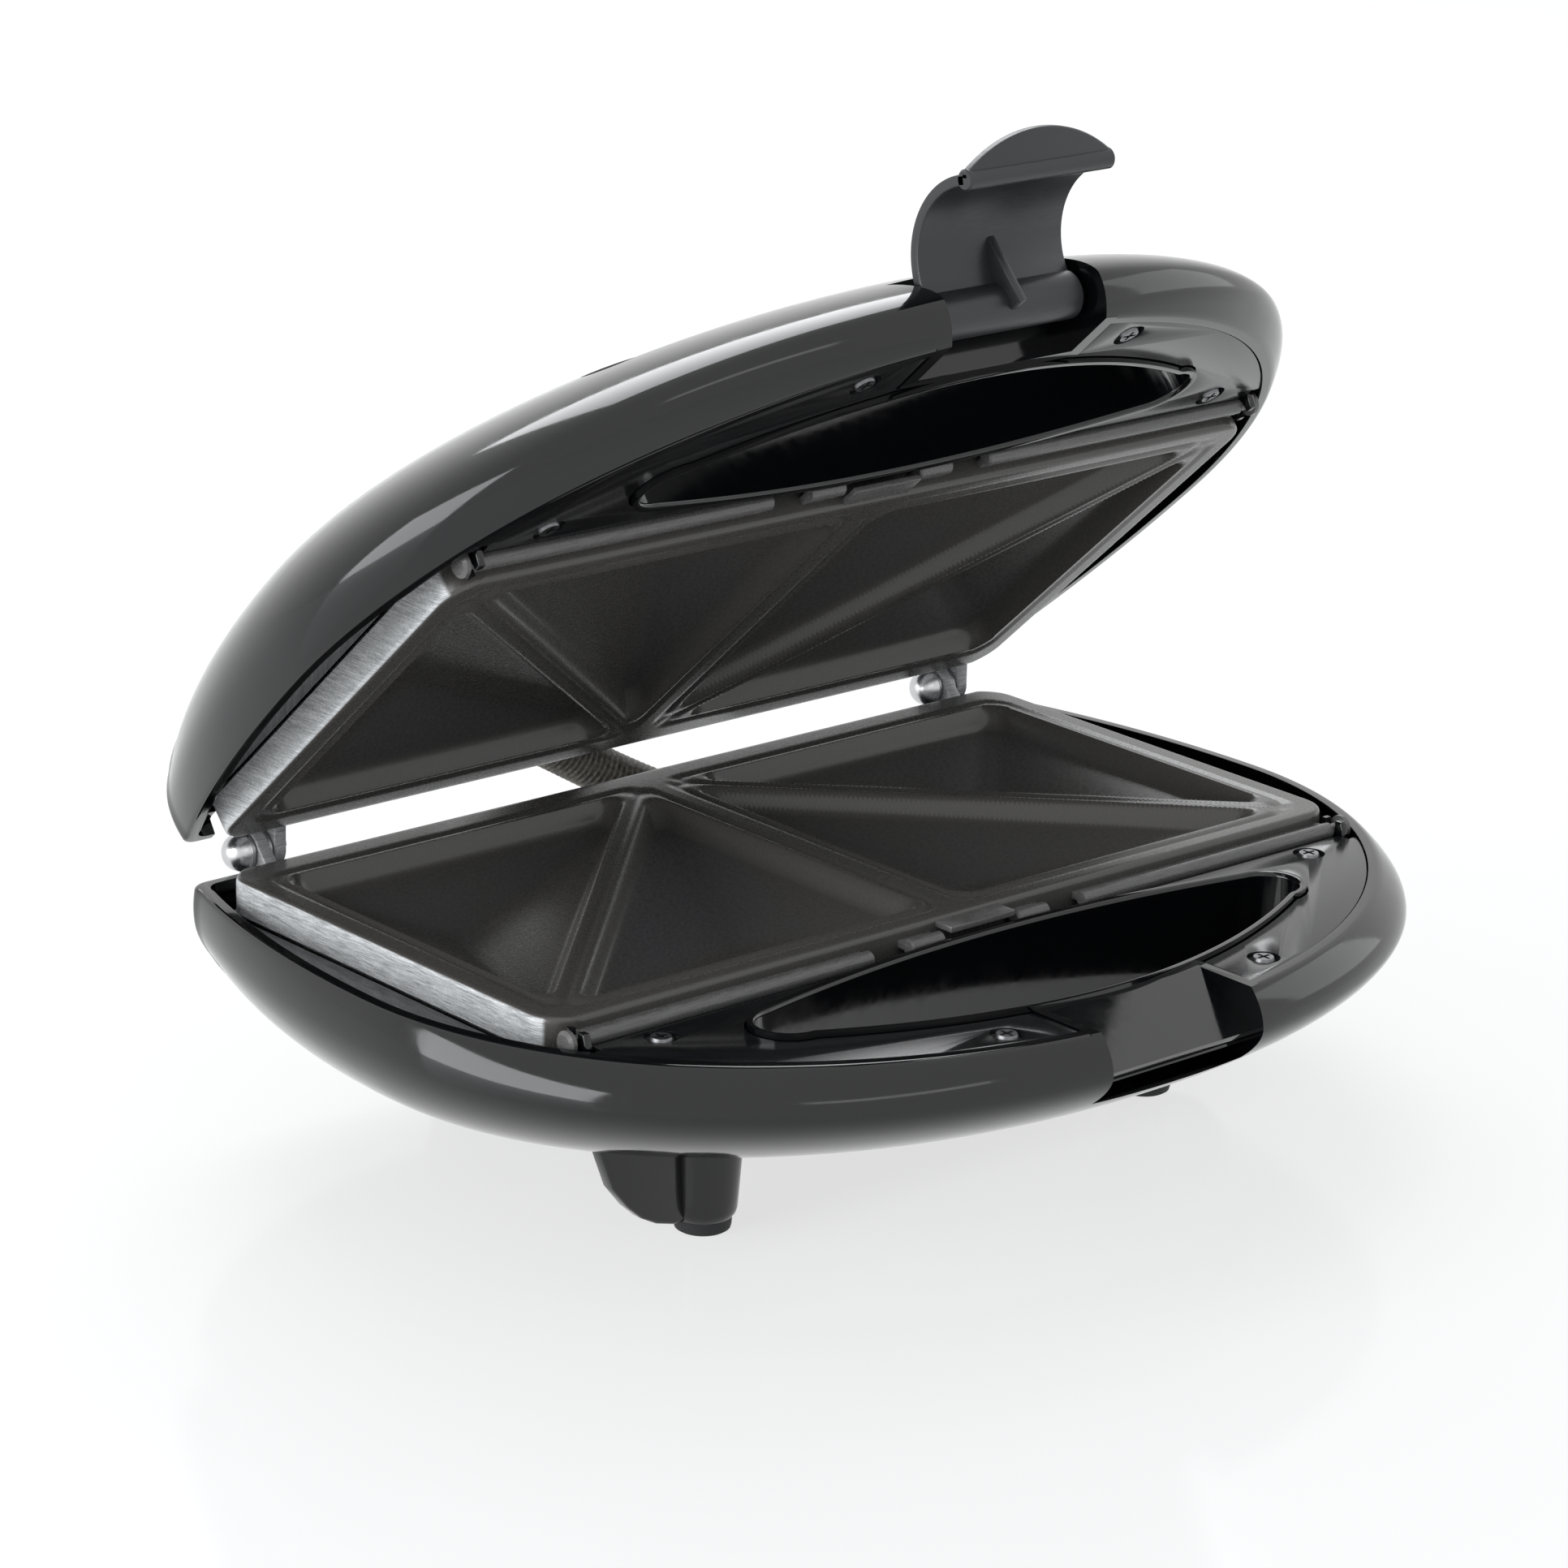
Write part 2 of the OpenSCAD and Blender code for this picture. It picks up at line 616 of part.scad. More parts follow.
module hinge_pins() color(steel) in_base()
    for (x = stack_x) translate([x, hinge_y, mid_h]) rotate([0, 90, 0]) {
        intersection() {
            translate([0, 0, dome_r - 0.1]) sphere(r = dome_r);
            cylinder(r = 5, h = dome_h);
        }
        translate([0, 0, dome_h - 0.1]) cylinder(r = pin_r, h = stack - dome_h + 1.3);
        translate([0, 0, stack + 1]) cylinder(r = 1.3, h = 1.4);
    }

module hinge_washers() color("#8c8f93") in_base()
    for (x = stack_x, k = [0, 1])
        translate([x + dome_h + lug_gap / 2 + k * (washer_t + lug_t + 2 * lug_gap), hinge_y, mid_h])
            rotate([0, 90, 0]) difference() {
                cylinder(r = 4.1, h = washer_t);
                translate([0, 0, -1]) cylinder(r = pin_r + run, h = washer_t + 2);
            }

// ---------------------------------------------------------------- heating
module heater() {
    for (y = heater_y) translate([-heater_x - 14, y, heater_h]) rotate([0, 90, 0])
        cylinder(r = heater_r, h = 2 * heater_x + 14);
    translate([heater_x, (heater_y[0] + heater_y[1]) / 2, heater_h]) rotate([0, 0, -90])
        rotate_extrude(angle = 180) translate([(heater_y[1] - heater_y[0]) / 2, 0]) circle(r = heater_r);
    for (y = heater_y) translate([-heater_x - 22, y, heater_h]) rotate([0, 90, 0])
        cylinder(r = 1.4, h = 10);
}
module base_heater() color("#6d6a66") in_base() heater();
module lid_heater() color("#6d6a66") in_lid() heater();

// Round-cornered rectangle inside the plate's edge, s across the sides and e at the ends
function tray_ring(s, e, r, h) =
    let (w = plate_w / 2 - s, y = [e, plate_d - e],
        mids = [[w - r, y[0] + r, -90], [w - r, y[1] - r, 0], [r - w, y[1] - r, 90], [r - w, y[0] + r, 180]])
        [for (m = mids, i = [0:3]) [m[0] + r * cos(m[2] + 30 * i), m[1] + r * sin(m[2] + 30 * i), h]];

// The side with the conduit has a notch for it
module tray(side) {
    top = plate_side + 0.3;
    difference() {
        loft([tray_ring(tray_in, tray_in, 7, top), tray_ring(tray_in + tray_draft, tray_in + 5, 7, tray_h)]);
        loft([tray_ring(tray_in + tray_t - 0.4, tray_in + tray_t - 0.2, 6.2, top - 1),
            tray_ring(tray_in + tray_draft + tray_t - 0.4, tray_in + 5 + tray_t - 0.2, 6.2,
                tray_h - tray_t)]);
        for (p = stud_at) translate([p.x, p.y, tray_h - 3]) cylinder(r = screw_r + 0.2, h = 6);
        translate([side * conduit_end.x - conduit_d, plate_d - 5, conduit_end.z - conduit_d / 2 - 1])
            cube([2 * conduit_d, tray_notch.x, tray_notch.y]);
    }
}
module base_reflector() color(steel) in_base() intersection() {
    tray(1);
    body(base_form, wall + tray_gap, rim_h);
}
module lid_reflector() color(steel) in_lid() intersection() {
    tray(-1);
    body(lid_form, wall + tray_gap, rim_h);
}

plate_screw_len = 7;
module plate_screws()
    for (p = stud_at) translate([p.x, p.y, tray_h + 1.6]) mirror([0, 0, 1]) cross_screw(plate_screw_len);
module base_plate_screws() color(steel) in_base() plate_screws();
module lid_plate_screws() color(steel) in_lid() plate_screws();

// ---------------------------------------------------------------- electrics
stat_r = 8;
stat_h = 9;
stat_in = [23, 15];             // from the plate's quarter and the studs' line
module thermostat() color("#c9c2b0") in_base()
    translate([plate_w / 4 - stat_in.x, stud_y - stat_in.y, tray_h]) {
    cylinder(r = stat_r, h = stat_h / 2);
    translate([0, 0, stat_h / 2]) cylinder(r = stat_r - 1.5, h = stat_h / 2);
    for (s = [-1, 1]) translate([s * stat_r / 2 - 2.4, -0.4, stat_h - 1]) cube([4.8, 0.8, 6]);
}

fuse_r = 2.5;
fuse_len = 12;
fuse_lead = 10;
fuse_in = [25, 13];             // from the plate's quarter and the studs' line
module thermal_fuse() color("#d8d2c4") in_base()
    translate([fuse_in.x - plate_w / 4, stud_y + fuse_in.y, tray_h + fuse_r + 0.1]) rotate([0, 90, 0]) {
        translate([0, 0, -fuse_len / 2]) cylinder(r = fuse_r, h = fuse_len);
        translate([0, 0, -fuse_len / 2 - fuse_lead])
            cylinder(r = 0.6, h = fuse_len + 2 * fuse_lead);
    }

block_w = 30;
block_d = 16;
block_h = 10;
module terminal_block() color("#e8e4da") in_base()
    translate([plate_w / 4 - 35, plate_d - 32, tray_h + 1]) difference() {
        cube([block_w, block_d, block_h]);
        for (i = [0:2]) translate([block_w * (i + 0.5) / 3, -1, block_h / 2]) rotate([-90, 0, 0])
            cylinder(r = 1.8, h = block_d + 2);
        for (i = [0:2]) translate([block_w * (i + 0.5) / 3, block_d / 2, block_h / 2])
            cylinder(r = 1.5, h = block_h);
    }

module cord_gland() color("#202022") in_base() translate([gland.x, rear, gland.y]) rotate([90, 0, 0])
    difference() {
        union() {
            translate([0, 0, -cord_bore / 2])
                cylinder(r1 = cord_r + 1.4, r2 = cord_r + 2.6, h = cord_bore / 2 + 0.1);
            translate([-6.8, -5.8, 0]) cube([13.6, 11.6, wall]);
            translate([-6, -5, -0.8]) cube([12, 10, 1]);
            translate([0, 0, wall - 0.1]) cylinder(r = cord_r + 2.2, h = cord_bore / 2 - wall + 0.1);
        }
        translate([0, 0, -cord_bore / 2 - 1]) cylinder(r = cord_r, h = cord_bore + 2);
    }

// Lamps on the crown of the lid
lamp_x = [-9, 9];
lamp_y = 6;
lamp_r = 3.6;
lamp_h = 39;
module lamp_lenses() color("#c4521f") in_lid() for (x = lamp_x) translate([x, lamp_y, lamp_h - 4])
    cylinder(r = lamp_r, h = 6);
holder = [30, 10, 5.8];
module lamp_holder() color("#2a2a2c") in_lid()
    translate([-holder.x / 2, lamp_y - holder.y / 2, lamp_h - 4.2 - holder.z])
        difference() {
            cube(holder);
            for (x = lamp_x)
                translate([x + holder.x / 2, holder.y / 2, 2]) cylinder(r = lamp_r - 1, h = holder.z);
        }

// ---------------------------------------------------------------- latch
module latch_pin() color(steel) in_lid() translate([0, axis_y, axis_h]) rotate([0, 90, 0])
    cylinder(r = 1.45, h = recess_w + 2 * wall - 1, center = true);

module latch_profile()
    union() {
        circle(r = barrel_r);
        translate(arc_c) intersection() {
            difference() {
                circle(r = latch_r + latch_t / 2, $fn = 96);
                circle(r = latch_r - latch_t / 2, $fn = 96);
            }
            polygon([[0, 0],
                for (a = [arc_from:(arc_to - arc_from) / 6:arc_to + 0.1]) 60 * [cos(a), sin(a)]]);
        }
        translate(arc_c + latch_r * [cos(arc_to), sin(arc_to)]) circle(r = bead_r);
    }

module latch() color("#2c2d2f") in_lid() translate([0, axis_y, axis_h]) difference() {
    union() {
        along_x(latch_w) latch_profile();
        // gusset inside the curve
        along_x(2) polygon([arc_c + (latch_r - 1) * [cos(46), sin(46)],
            arc_c + (latch_r - 1) * [cos(4), sin(4)],
            [0, -3], [-7.5, -3]]);
        // thumb tab: a circle segment standing off the hook bead
        translate([0, arc_c.x + latch_r * cos(arc_to), arc_c.y + latch_r * sin(arc_to)])
            rotate([arc_to - 90 + 8, 0, 0]) translate([0, 0.9, 0]) rotate([90, 0, 0])
                linear_extrude(2) intersection() {
                translate([0, 8.5 - 31]) circle(r = 31, $fn = 96);
                translate([-latch_w / 2, 0]) square([latch_w, 20]);
            }
    }
    rotate([0, 90, 0]) cylinder(r = 1.45 + run, h = 80, center = true);
}

// ---------------------------------------------------------------- conduit
// Centre line: out of the base at the right, past the hinge line, into the lid at the left
function lid_place(p) =
    let (q = turned([p.y - hinge_y, p.z + face_gap / 2], -lid_open))
        [p.x, hinge_y + q.x, face_gap / 2 + q.y];
run_a = [conduit_end.x, conduit_end.y, -conduit_end.z];
run_b = [6, hinge_y + 4.5, -9];
run_c = lid_place([-6, hinge_y + 4.5, 9]);
run_d = lid_place([-conduit_end.x, conduit_end.y, conduit_end.z]);
function run_at(t) = pow(1 - t, 3) * run_a + 3 * t * pow(1 - t, 2) * run_b
    + 3 * t * t * (1 - t) * run_c + pow(t, 3) * run_d;
function unit(v) = v / norm(v);
rib_sides = 8;
conduit_wall = 1.3;
bore_steps = 16;
function conduit_ring(t, r) =
    let (d = unit(run_at(min(1, t + 0.01)) - run_at(max(0, t - 0.01))),
        u = unit(cross(d, [0, 0, 1])), v = cross(u, d))
        [for (i = [0:rib_sides - 1])
            let (a = 360 * i / rib_sides) run_at(t) + r * (cos(a) * v + sin(a) * u)];

module wire_conduit() color("#5a5854") translate([0, -stance_y, face_z])
    difference() {
        loft([for (i = [0:conduit_ribs - 1], k = [0, 1])
            conduit_ring((i + 0.5 * k) / (conduit_ribs - 0.5), conduit_d / 2 - 0.45 * k)]);
        loft([for (i = [0:bore_steps])
            conduit_ring((i - 0.1) / (bore_steps - 0.2), conduit_d / 2 - conduit_wall)]);
    }

base_housing();
base_panel();
base_plate();
base_heater();
base_reflector();
base_panel_screws();
base_plate_screws();
rubber_feet();
thermostat();
thermal_fuse();
terminal_block();
cord_gland();
hinge_pins();
hinge_washers();
wire_conduit();
lid_housing();
lid_panel();
lid_plate();
lid_heater();
lid_reflector();
lid_panel_screws();
lid_plate_screws();
lamp_lenses();
lamp_holder();
latch_pin();
latch();
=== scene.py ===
"""A two-slice sandwich toaster that stands open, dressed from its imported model."""

import json
from collections import namedtuple
from math import cos, pi, radians, sin, sqrt
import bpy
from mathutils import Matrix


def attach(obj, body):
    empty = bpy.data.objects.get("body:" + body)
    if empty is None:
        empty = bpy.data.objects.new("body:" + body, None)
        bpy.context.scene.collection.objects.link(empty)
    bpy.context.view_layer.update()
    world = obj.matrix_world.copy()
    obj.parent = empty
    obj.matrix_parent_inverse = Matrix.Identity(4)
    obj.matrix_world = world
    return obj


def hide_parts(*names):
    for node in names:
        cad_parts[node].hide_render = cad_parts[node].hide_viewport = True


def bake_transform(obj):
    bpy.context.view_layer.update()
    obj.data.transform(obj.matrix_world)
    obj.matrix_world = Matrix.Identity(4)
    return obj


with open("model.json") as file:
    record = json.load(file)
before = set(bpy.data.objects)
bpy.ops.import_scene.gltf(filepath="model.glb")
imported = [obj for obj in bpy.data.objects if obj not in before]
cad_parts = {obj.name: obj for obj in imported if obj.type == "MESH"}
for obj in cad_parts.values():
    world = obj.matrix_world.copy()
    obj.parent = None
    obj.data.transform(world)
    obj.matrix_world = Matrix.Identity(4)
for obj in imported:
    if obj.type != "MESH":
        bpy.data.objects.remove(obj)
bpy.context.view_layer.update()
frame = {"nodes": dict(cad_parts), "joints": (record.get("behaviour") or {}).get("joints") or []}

from types import SimpleNamespace

import bmesh
import bpy
from bpy.props import FloatProperty, IntProperty, PointerProperty, StringProperty
from bpy.types import Operator, Panel, PropertyGroup
from mathutils import Matrix, Vector

bl_info = {
    "name": "Sandwich Toaster",
    "version": (1, 0, 0),
    "blender": (4, 5, 0),
    "location": "View3D > Sidebar > Toaster",
    "description": "Builds an open sandwich toaster with pyramid-pocket plates",
    "category": "Add Mesh",
}

LID_HINGE = next(j for j in frame["joints"] if j["name"] == "lid_hinge")
OPEN_ANGLE = -LID_HINGE["range_deg"][0]
LID_BODY, BASE_BODY, LATCH_BODY = "lid", "base", "latch"

# Places that the two halves share, in millimetres. X runs to the right, Y back from the
# front edge of the cooking plates, and h outwards from a plate's face.
BELLY_H, SIDE_TUCK, NOSE_TUCK = 12.0, 2.0, 3.5
NOSE_FULL, FULL_FADE, REAR_TAPER = 0.17, 34.0, 0.03
REAR_CORNER, NOSE_SHARE = 4.0, 0.567
BAR_Y, BAR_H, BAR_R, NECK_R, KNOB_R = -3.2, 3.4, 1.8, 1.3, 2.7
KNOB_FROM, KNOB_TO, CRADLE_X = 107.6, 109.6, 106.2
SCREWS = [(91.0, -10.6), (36.0, -50.8)]
PANEL_BACK, PANEL_T, PANEL_DROP, PANEL_FIT = -6.3, 2.0, 0.3, 0.4
SCREW_SUNK, SCREW_HEAD, SCREW_SEAT_R, SCREW_HOLE_R = 0.2, 1.4, 3.5, 1.6
AXIS_Y, AXIS_H, BARREL_R = -57.0, 12.5, 5.0
ARC_C, ARC_FROM, ARC_TO, BEAD_R = (-18.5, 1.0), -4.0, 122.0, 2.2
RECESS_BACK, LID_BACK = -47.5, -49.0
LEDGE_H, LATCH_TURN = 12.2, 111.0
DOME_H, DOME_R, WASHER_T, LUG_GAP, PIN_R = 4.4, 4.2, 1.0, 0.1, 2.0
HALF_GAP, PIN_FIT = 0.75, 0.08
HEATER_Y, HEATER_X, HEATER_H = (29.0, 84.0), 70.0, 19.2
STUDS, STUD_R = [(-84.0, 57.0), (0.0, 57.0), (84.0, 57.0)], 4.2
TRAY_H = 25.0
FOOT_Y = 9.0
LEG_X, LEG_Y, LEG_W, LEG_D = 50.0, 98.0, 26.0, 14.0
SLEEVE_END_X, SLEEVE_END_H, GLAND_X, GLAND_H = 36.0, 18.0, 62.0, 22.0
DECK_T, DECK_GAP = 1.6, 1.3
LAMP_X, LAMP_Y, LAMP_HOLE_R = (-9.0, 9.0), 6.0, 3.75

# The camera, fitted to the corners of both plates: the way back to it, its roll in degrees, its
# place in millimetres from the middle of the base plate's front edge, and its focal length and
# frame in pixels.
VIEW_BACK, VIEW_ROLL, VIEW_SHIFT = (-0.62311, -0.71585, 0.31508), 1.29, (0.00047, 0.00268)
CAMERA_AT, FOCAL_PX, FRAME_PX = (-708.33, -754.56, 368.89), 6511.55, 1932

# How much of the floor is plain white where the background shows, and the world's plain level.
WHITE_SHARE, WORLD_LEVEL = 0.7, 0.65

# A housing's form: its depth, the rise of its dome, the half width, front and back of its crown,
# and how full its sides, nose and rear are.
Form = namedtuple("Form", "deep dome crown_w crown_front crown_back side_full nose_full rear_full")


# ------------------------------------------------------------------ properties
def length(name, about, value, low=0.0, high=1.0):
    return FloatProperty(name=name, description=about, default=value, min=low, max=high,
                         unit="LENGTH", precision=5)


class ToasterSizes(PropertyGroup):
    plate_w: length("Plate width", "Width of a cooking plate", 0.220)
    plate_d: length("Plate depth", "Depth of a cooking plate", 0.112)
    plate_side: length("Plate side", "Height of the bare cast side", 0.0075)
    plate_wall: length("Plate wall", "Thickness of the cast metal", 0.003)
    plate_corner: length("Plate corner", "Radius of a plate's corners", 0.008)
    pocket_border: length("Border", "Flat border round the pockets", 0.006)
    ridge_w: length("Ridge", "Width of the ridges between pockets", 0.006)
    pocket_edge: length("Pocket edge", "Depth of the steep edge of a pocket", 0.005)
    pocket_deep: length("Pocket depth", "Depth of a pocket at its middle", 0.012)
    body_w: length("Housing width", "Width across the housings", 0.255)
    nose: length("Nose", "How far the housings reach in front of the plates", 0.067)
    tail: length("Tail", "How far the rear walls stand behind the plates", 0.006)
    base_deep: length("Base depth", "Depth of the lower housing", 0.045)
    lid_deep: length("Lid depth", "Depth of the lid", 0.047)
    wall: length("Wall", "Wall of the moulded housings", 0.0025)
    rim_h: length("Rim", "Depth of the rim below a plate's face", 0.0035)
    grip_w: length("Grip width", "Width of the crescent finger hole", 0.148)
    grip_gap: length("Grip gap", "Distance of the finger hole from the plates", 0.0075)
    grip_d: length("Grip depth", "Finger hole from back to front", 0.038)
    hinge_back: length("Hinge line", "Hinge line behind the plates", 0.0065)
    hinge_x: length("Hinge spread", "Distance of a hinge from the middle", 0.098)
    lug_t: length("Lug", "Thickness of a cast hinge lug", 0.003)
    lug_r: length("Lug end", "Radius of a lug's round end", 0.0045)
    latch_w: length("Latch width", "Width of the latch", 0.039)
    latch_r: length("Latch curve", "Radius of the latch's shell", 0.0168)
    latch_t: length("Latch shell", "Thickness of the latch's shell", 0.0024)
    foot_x: length("Foot spread", "Distance of a front foot from the middle", 0.063)
    foot_r: length("Foot radius", "Radius of a front foot", 0.0072)
    foot_tip: length("Foot tip", "Thickness of the rubber tips", 0.003)
    sleeve_d: length("Sleeve", "Outer diameter of the ribbed sleeve", 0.011)
    sleeve_ribs: IntProperty(name="Sleeve ribs", description="Ribs along the sleeve",
                             default=56, min=10, max=120)


def hue(name, about, value):
    return StringProperty(name=name, description=about + ", as an sRGB hex value", default=value)


class ToasterColours(PropertyGroup):
    housing: hue("Housing", "Polished black moulding", "#08090b")
    panel: hue("Panels", "Black inner panels", "#101113")
    coating: hue("Coating", "Non-stick coating", "#4c4a48")
    casting: hue("Casting", "Bare cast aluminium", "#e6e7e8")
    tray: hue("Trays", "Bright reflector trays", "#c9cacb")
    latch: hue("Latch", "Dark grey latch", "#27282b")
    sleeve: hue("Sleeve", "Grey-brown sleeve", "#77736b")
    rubber: hue("Rubber", "Feet and gland", "#17181a")
    lamp: hue("Lamps", "Lamp lenses", "#b3401c")
    ceramic: hue("Ceramic", "Electric parts", "#d9d2c2")
    floor: hue("Floor", "Floor and backdrop", "#f2f2f2")


def sizes():
    """The size properties in millimetres, with the places that follow from them."""
    group = bpy.context.scene.toaster_sizes
    s = SimpleNamespace(**{k: getattr(group, k) * (1 if k == "sleeve_ribs" else 1000)
                           for k in ToasterSizes.__annotations__})
    s.rear = s.plate_d + s.tail
    s.hinge_y = s.plate_d + s.hinge_back
    s.stance_y = s.hinge_y - LID_HINGE["pos_m"][1] * 1000
    s.half_gap = HALF_GAP
    s.face_z = LID_HINGE["pos_m"][2] * 1000 - s.half_gap
    s.base_form = Form(s.base_deep, 0.0, 58.0, 34.0, 94.0, 1.8, 1.6, 2.6)
    s.lid_form = Form(s.lid_deep, 2.0, 45.0, 35.0, 82.0, 1.9, 1.5, 2.6)
    s.stack = DOME_H + 2 * WASHER_T + 2 * s.lug_t + 4 * LUG_GAP
    s.stack_x = [k * s.hinge_x - s.stack / 2 for k in (-1, 1)]
    s.recess_w = s.latch_w + 3
    return s


def linear(code):
    """A linear colour from an sRGB hex value."""
    parts = [int(code[i:i + 2], 16) / 255 for i in (1, 3, 5)]
    return [p / 12.92 if p <= 0.04045 else ((p + 0.055) / 1.055) ** 2.4 for p in parts] + [1.0]


# ------------------------------------------------------------------ mesh helpers
def half_matrix(s, half):
    """From a half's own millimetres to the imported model's metres."""
    if half == BASE_BODY:
        place = Matrix.Translation((0, -s.stance_y, s.face_z)) @ Matrix.Diagonal((1, 1, -1, 1))
    else:
        place = (Matrix.Translation((0, s.hinge_y - s.stance_y, s.face_z + s.half_gap))
                 @ Matrix.Rotation(radians(-OPEN_ANGLE), 4, "X")
                 @ Matrix.Translation((0, -s.hinge_y, s.half_gap)))
    return Matrix.Scale(0.001, 4) @ place


def solid(points, faces):
    """A loose object from points and faces, in millimetres."""
    mesh = bpy.data.meshes.new("work")
    mesh.from_pydata([tuple(p) for p in points], [], faces)
    shell = bmesh.new()
    shell.from_mesh(mesh)
    if shell.calc_volume(signed=True) < 0:
        mesh.flip_normals()
    shell.free()
    ob = bpy.data.objects.new("work", mesh)
    bpy.context.scene.collection.objects.link(ob)
    return ob


def loft(rings):
    """A closed solid through counter-clockwise rings of equal length."""
    n, m = len(rings[0]), len(rings)
    faces = [list(range(n))[::-1], [(m - 1) * n + i for i in range(n)]]
    for k in range(m - 1):
        for i in range(n):
            j = (i + 1) % n
            faces.append([k * n + i, k * n + j, (k + 1) * n + j, (k + 1) * n + i])
    return solid([p for r in rings for p in r], faces)


def prism(outline, low, high, along="Z"):
    """An outline pulled straight: (x, y) up Z, or (y, h) along X."""
    if along == "Z":
        return loft([[(x, y, z) for x, y in outline] for z in (low, high)])
    return loft([[(x, y, z) for y, z in outline] for x in (low, high)])


def block(x, y, z):
    return prism([(x[0], y[0]), (x[1], y[0]), (x[1], y[1]), (x[0], y[1])], z[0], z[1])


def lathe(profile, at, axis="Z", steps=64):
    """A profile of (radius, height) turned about an axis through a point."""
    rings = [[(max(r, 1e-4) * cos(2 * pi * i / steps), max(r, 1e-4) * sin(2 * pi * i / steps), h)
              for i in range(steps)] for r, h in profile]
    ob = loft(rings)
    turn = {"Z": Matrix.Identity(4), "X": Matrix.Rotation(radians(90), 4, "Y"),
            "Y": Matrix.Rotation(radians(-90), 4, "X")}[axis]
    ob.data.transform(Matrix.Translation(at) @ turn)
    return ob


def rod(radius, low, high, at, axis="X", steps=64):
    """A plain round rod along an axis through a point."""
    return lathe([(radius, low), (radius, high)], at, axis, steps)


def eased_rod(radius, low, high, ease, at, steps):
    """A round rod along X whose ends are eased."""
    return lathe([(radius - ease, low), (radius, low + ease), (radius, high - ease),
                  (radius - ease, high)], at, "X", steps)


def on_arc(centre, radius, angle):
    """A point on a circle, at an angle in degrees."""
    return (centre[0] + radius * cos(radians(angle)), centre[1] + radius * sin(radians(angle)))


def loose_points(points, edges=()):
    """An object of bare points, or of a line through them, in metres."""
    mesh = bpy.data.meshes.new("points")
    mesh.from_pydata([tuple(p) for p in points], list(edges), [])
    ob = bpy.data.objects.new("points", mesh)
    bpy.context.scene.collection.objects.link(ob)
    return ob


def bake(ob):
    """Turns an object and its modifiers into a plain mesh."""
    bpy.context.view_layer.update()
    graph = bpy.context.evaluated_depsgraph_get()
    mesh = bpy.data.meshes.new_from_object(ob.evaluated_get(graph))
    ob.modifiers.clear()
    ob.data = mesh
    return ob


def combine(target, tools, operation):
    """Joins or cuts solids. The tools are used up."""
    for tool in tools:
        step = target.modifiers.new("solid", "BOOLEAN")
        step.operation, step.object, step.solver = operation, tool, "MANIFOLD"
        bake(target)
        bpy.data.objects.remove(tool)
    return target


def cut(target, *tools):
    return combine(target, tools, "DIFFERENCE")


def weld(target, *tools):
    return combine(target, tools, "UNION")


def keep(target, tool):
    return combine(target, [tool], "INTERSECT")


def gather(target, *others):
    """Puts loose shells into one object."""
    shell = bmesh.new()
    for ob in (target, *others):
        shell.from_mesh(ob.data)
    shell.to_mesh(target.data)
    shell.free()
    for ob in others:
        bpy.data.objects.remove(ob)
    return target


def bevelled(ob, width, segments=2, angle=40):
    edge = ob.modifiers.new("edge", "BEVEL")
    edge.width, edge.segments, edge.limit_method = width, segments, "ANGLE"
    edge.angle_limit, edge.harden_normals = radians(angle), False
    return bake(ob)


def both(make):
    """A shape and its mirror image across the middle."""
    right, left = make(), make()
    left.data.transform(Matrix.Diagonal((-1, 1, 1, 1)))
    left.data.flip_normals()
    return gather(right, left)


def finish_piece(ob, name, body, material, replaced=(), matrix=None, smooth=32):
    if matrix is not None:
        ob.data.transform(matrix)
        if matrix.determinant() < 0:
            ob.data.flip_normals()
    ob.name = ob.data.name = name
    ob.data.materials.clear()
    ob.data.materials.append(material)
    ob.data.shade_smooth()
    ob.data.set_sharp_from_angle(angle=radians(smooth))
    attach(ob, body)
    if replaced:
        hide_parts(*replaced)
    return ob


def paint(node, material):
    """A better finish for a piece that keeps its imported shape."""
    ob = frame["nodes"][node]
    ob.data.materials.clear()
    ob.data.materials.append(material)


# ------------------------------------------------------------------ housing form
def fall(q, p):
    return (1 - min(1.0, max(0.0, q)) ** p) ** (1 / p)


def side_x(y, w, front, back, taper):
    mid = front + NOSE_SHARE * (back - front)
    return (w * sqrt(1 - ((y - mid) / (back - front)) ** 2)
            * (1 - taper * ((y - mid) / (back - mid)) ** 2))


def outline(w, front, back, corner, power, taper, fine=1.0):
    """Half ellipse in front, gently drawn-in sides and a straight rear wall."""
    nose_n, side_n, corner_n = int(110 * fine), int(26 * fine), 8
    mid, bend = front + NOSE_SHARE * (back - front), back - corner
    cx = side_x(bend, w, front, back, taper) - corner
    right = [(side_x(y, w, front, back, taper), y)
             for y in (mid + (bend - mid) * i / side_n for i in range(1, side_n + 1))]
    right += [(cx + corner * cos(pi / 2 * i / corner_n), bend + corner * sin(pi / 2 * i / corner_n))
              for i in range(1, corner_n + 1)]
    ring = []
    for i in range(nose_n + 1):
        a = pi + pi * i / nose_n
        c, q = cos(a), sin(a)
        ring.append((w * (abs(c) ** (2 / power)) * (1 if c > 0 else -1),
                     mid - (mid - front) * abs(q) ** (2 / power)))
    return ring + right + [(-x, y) for x, y in reversed(right)]


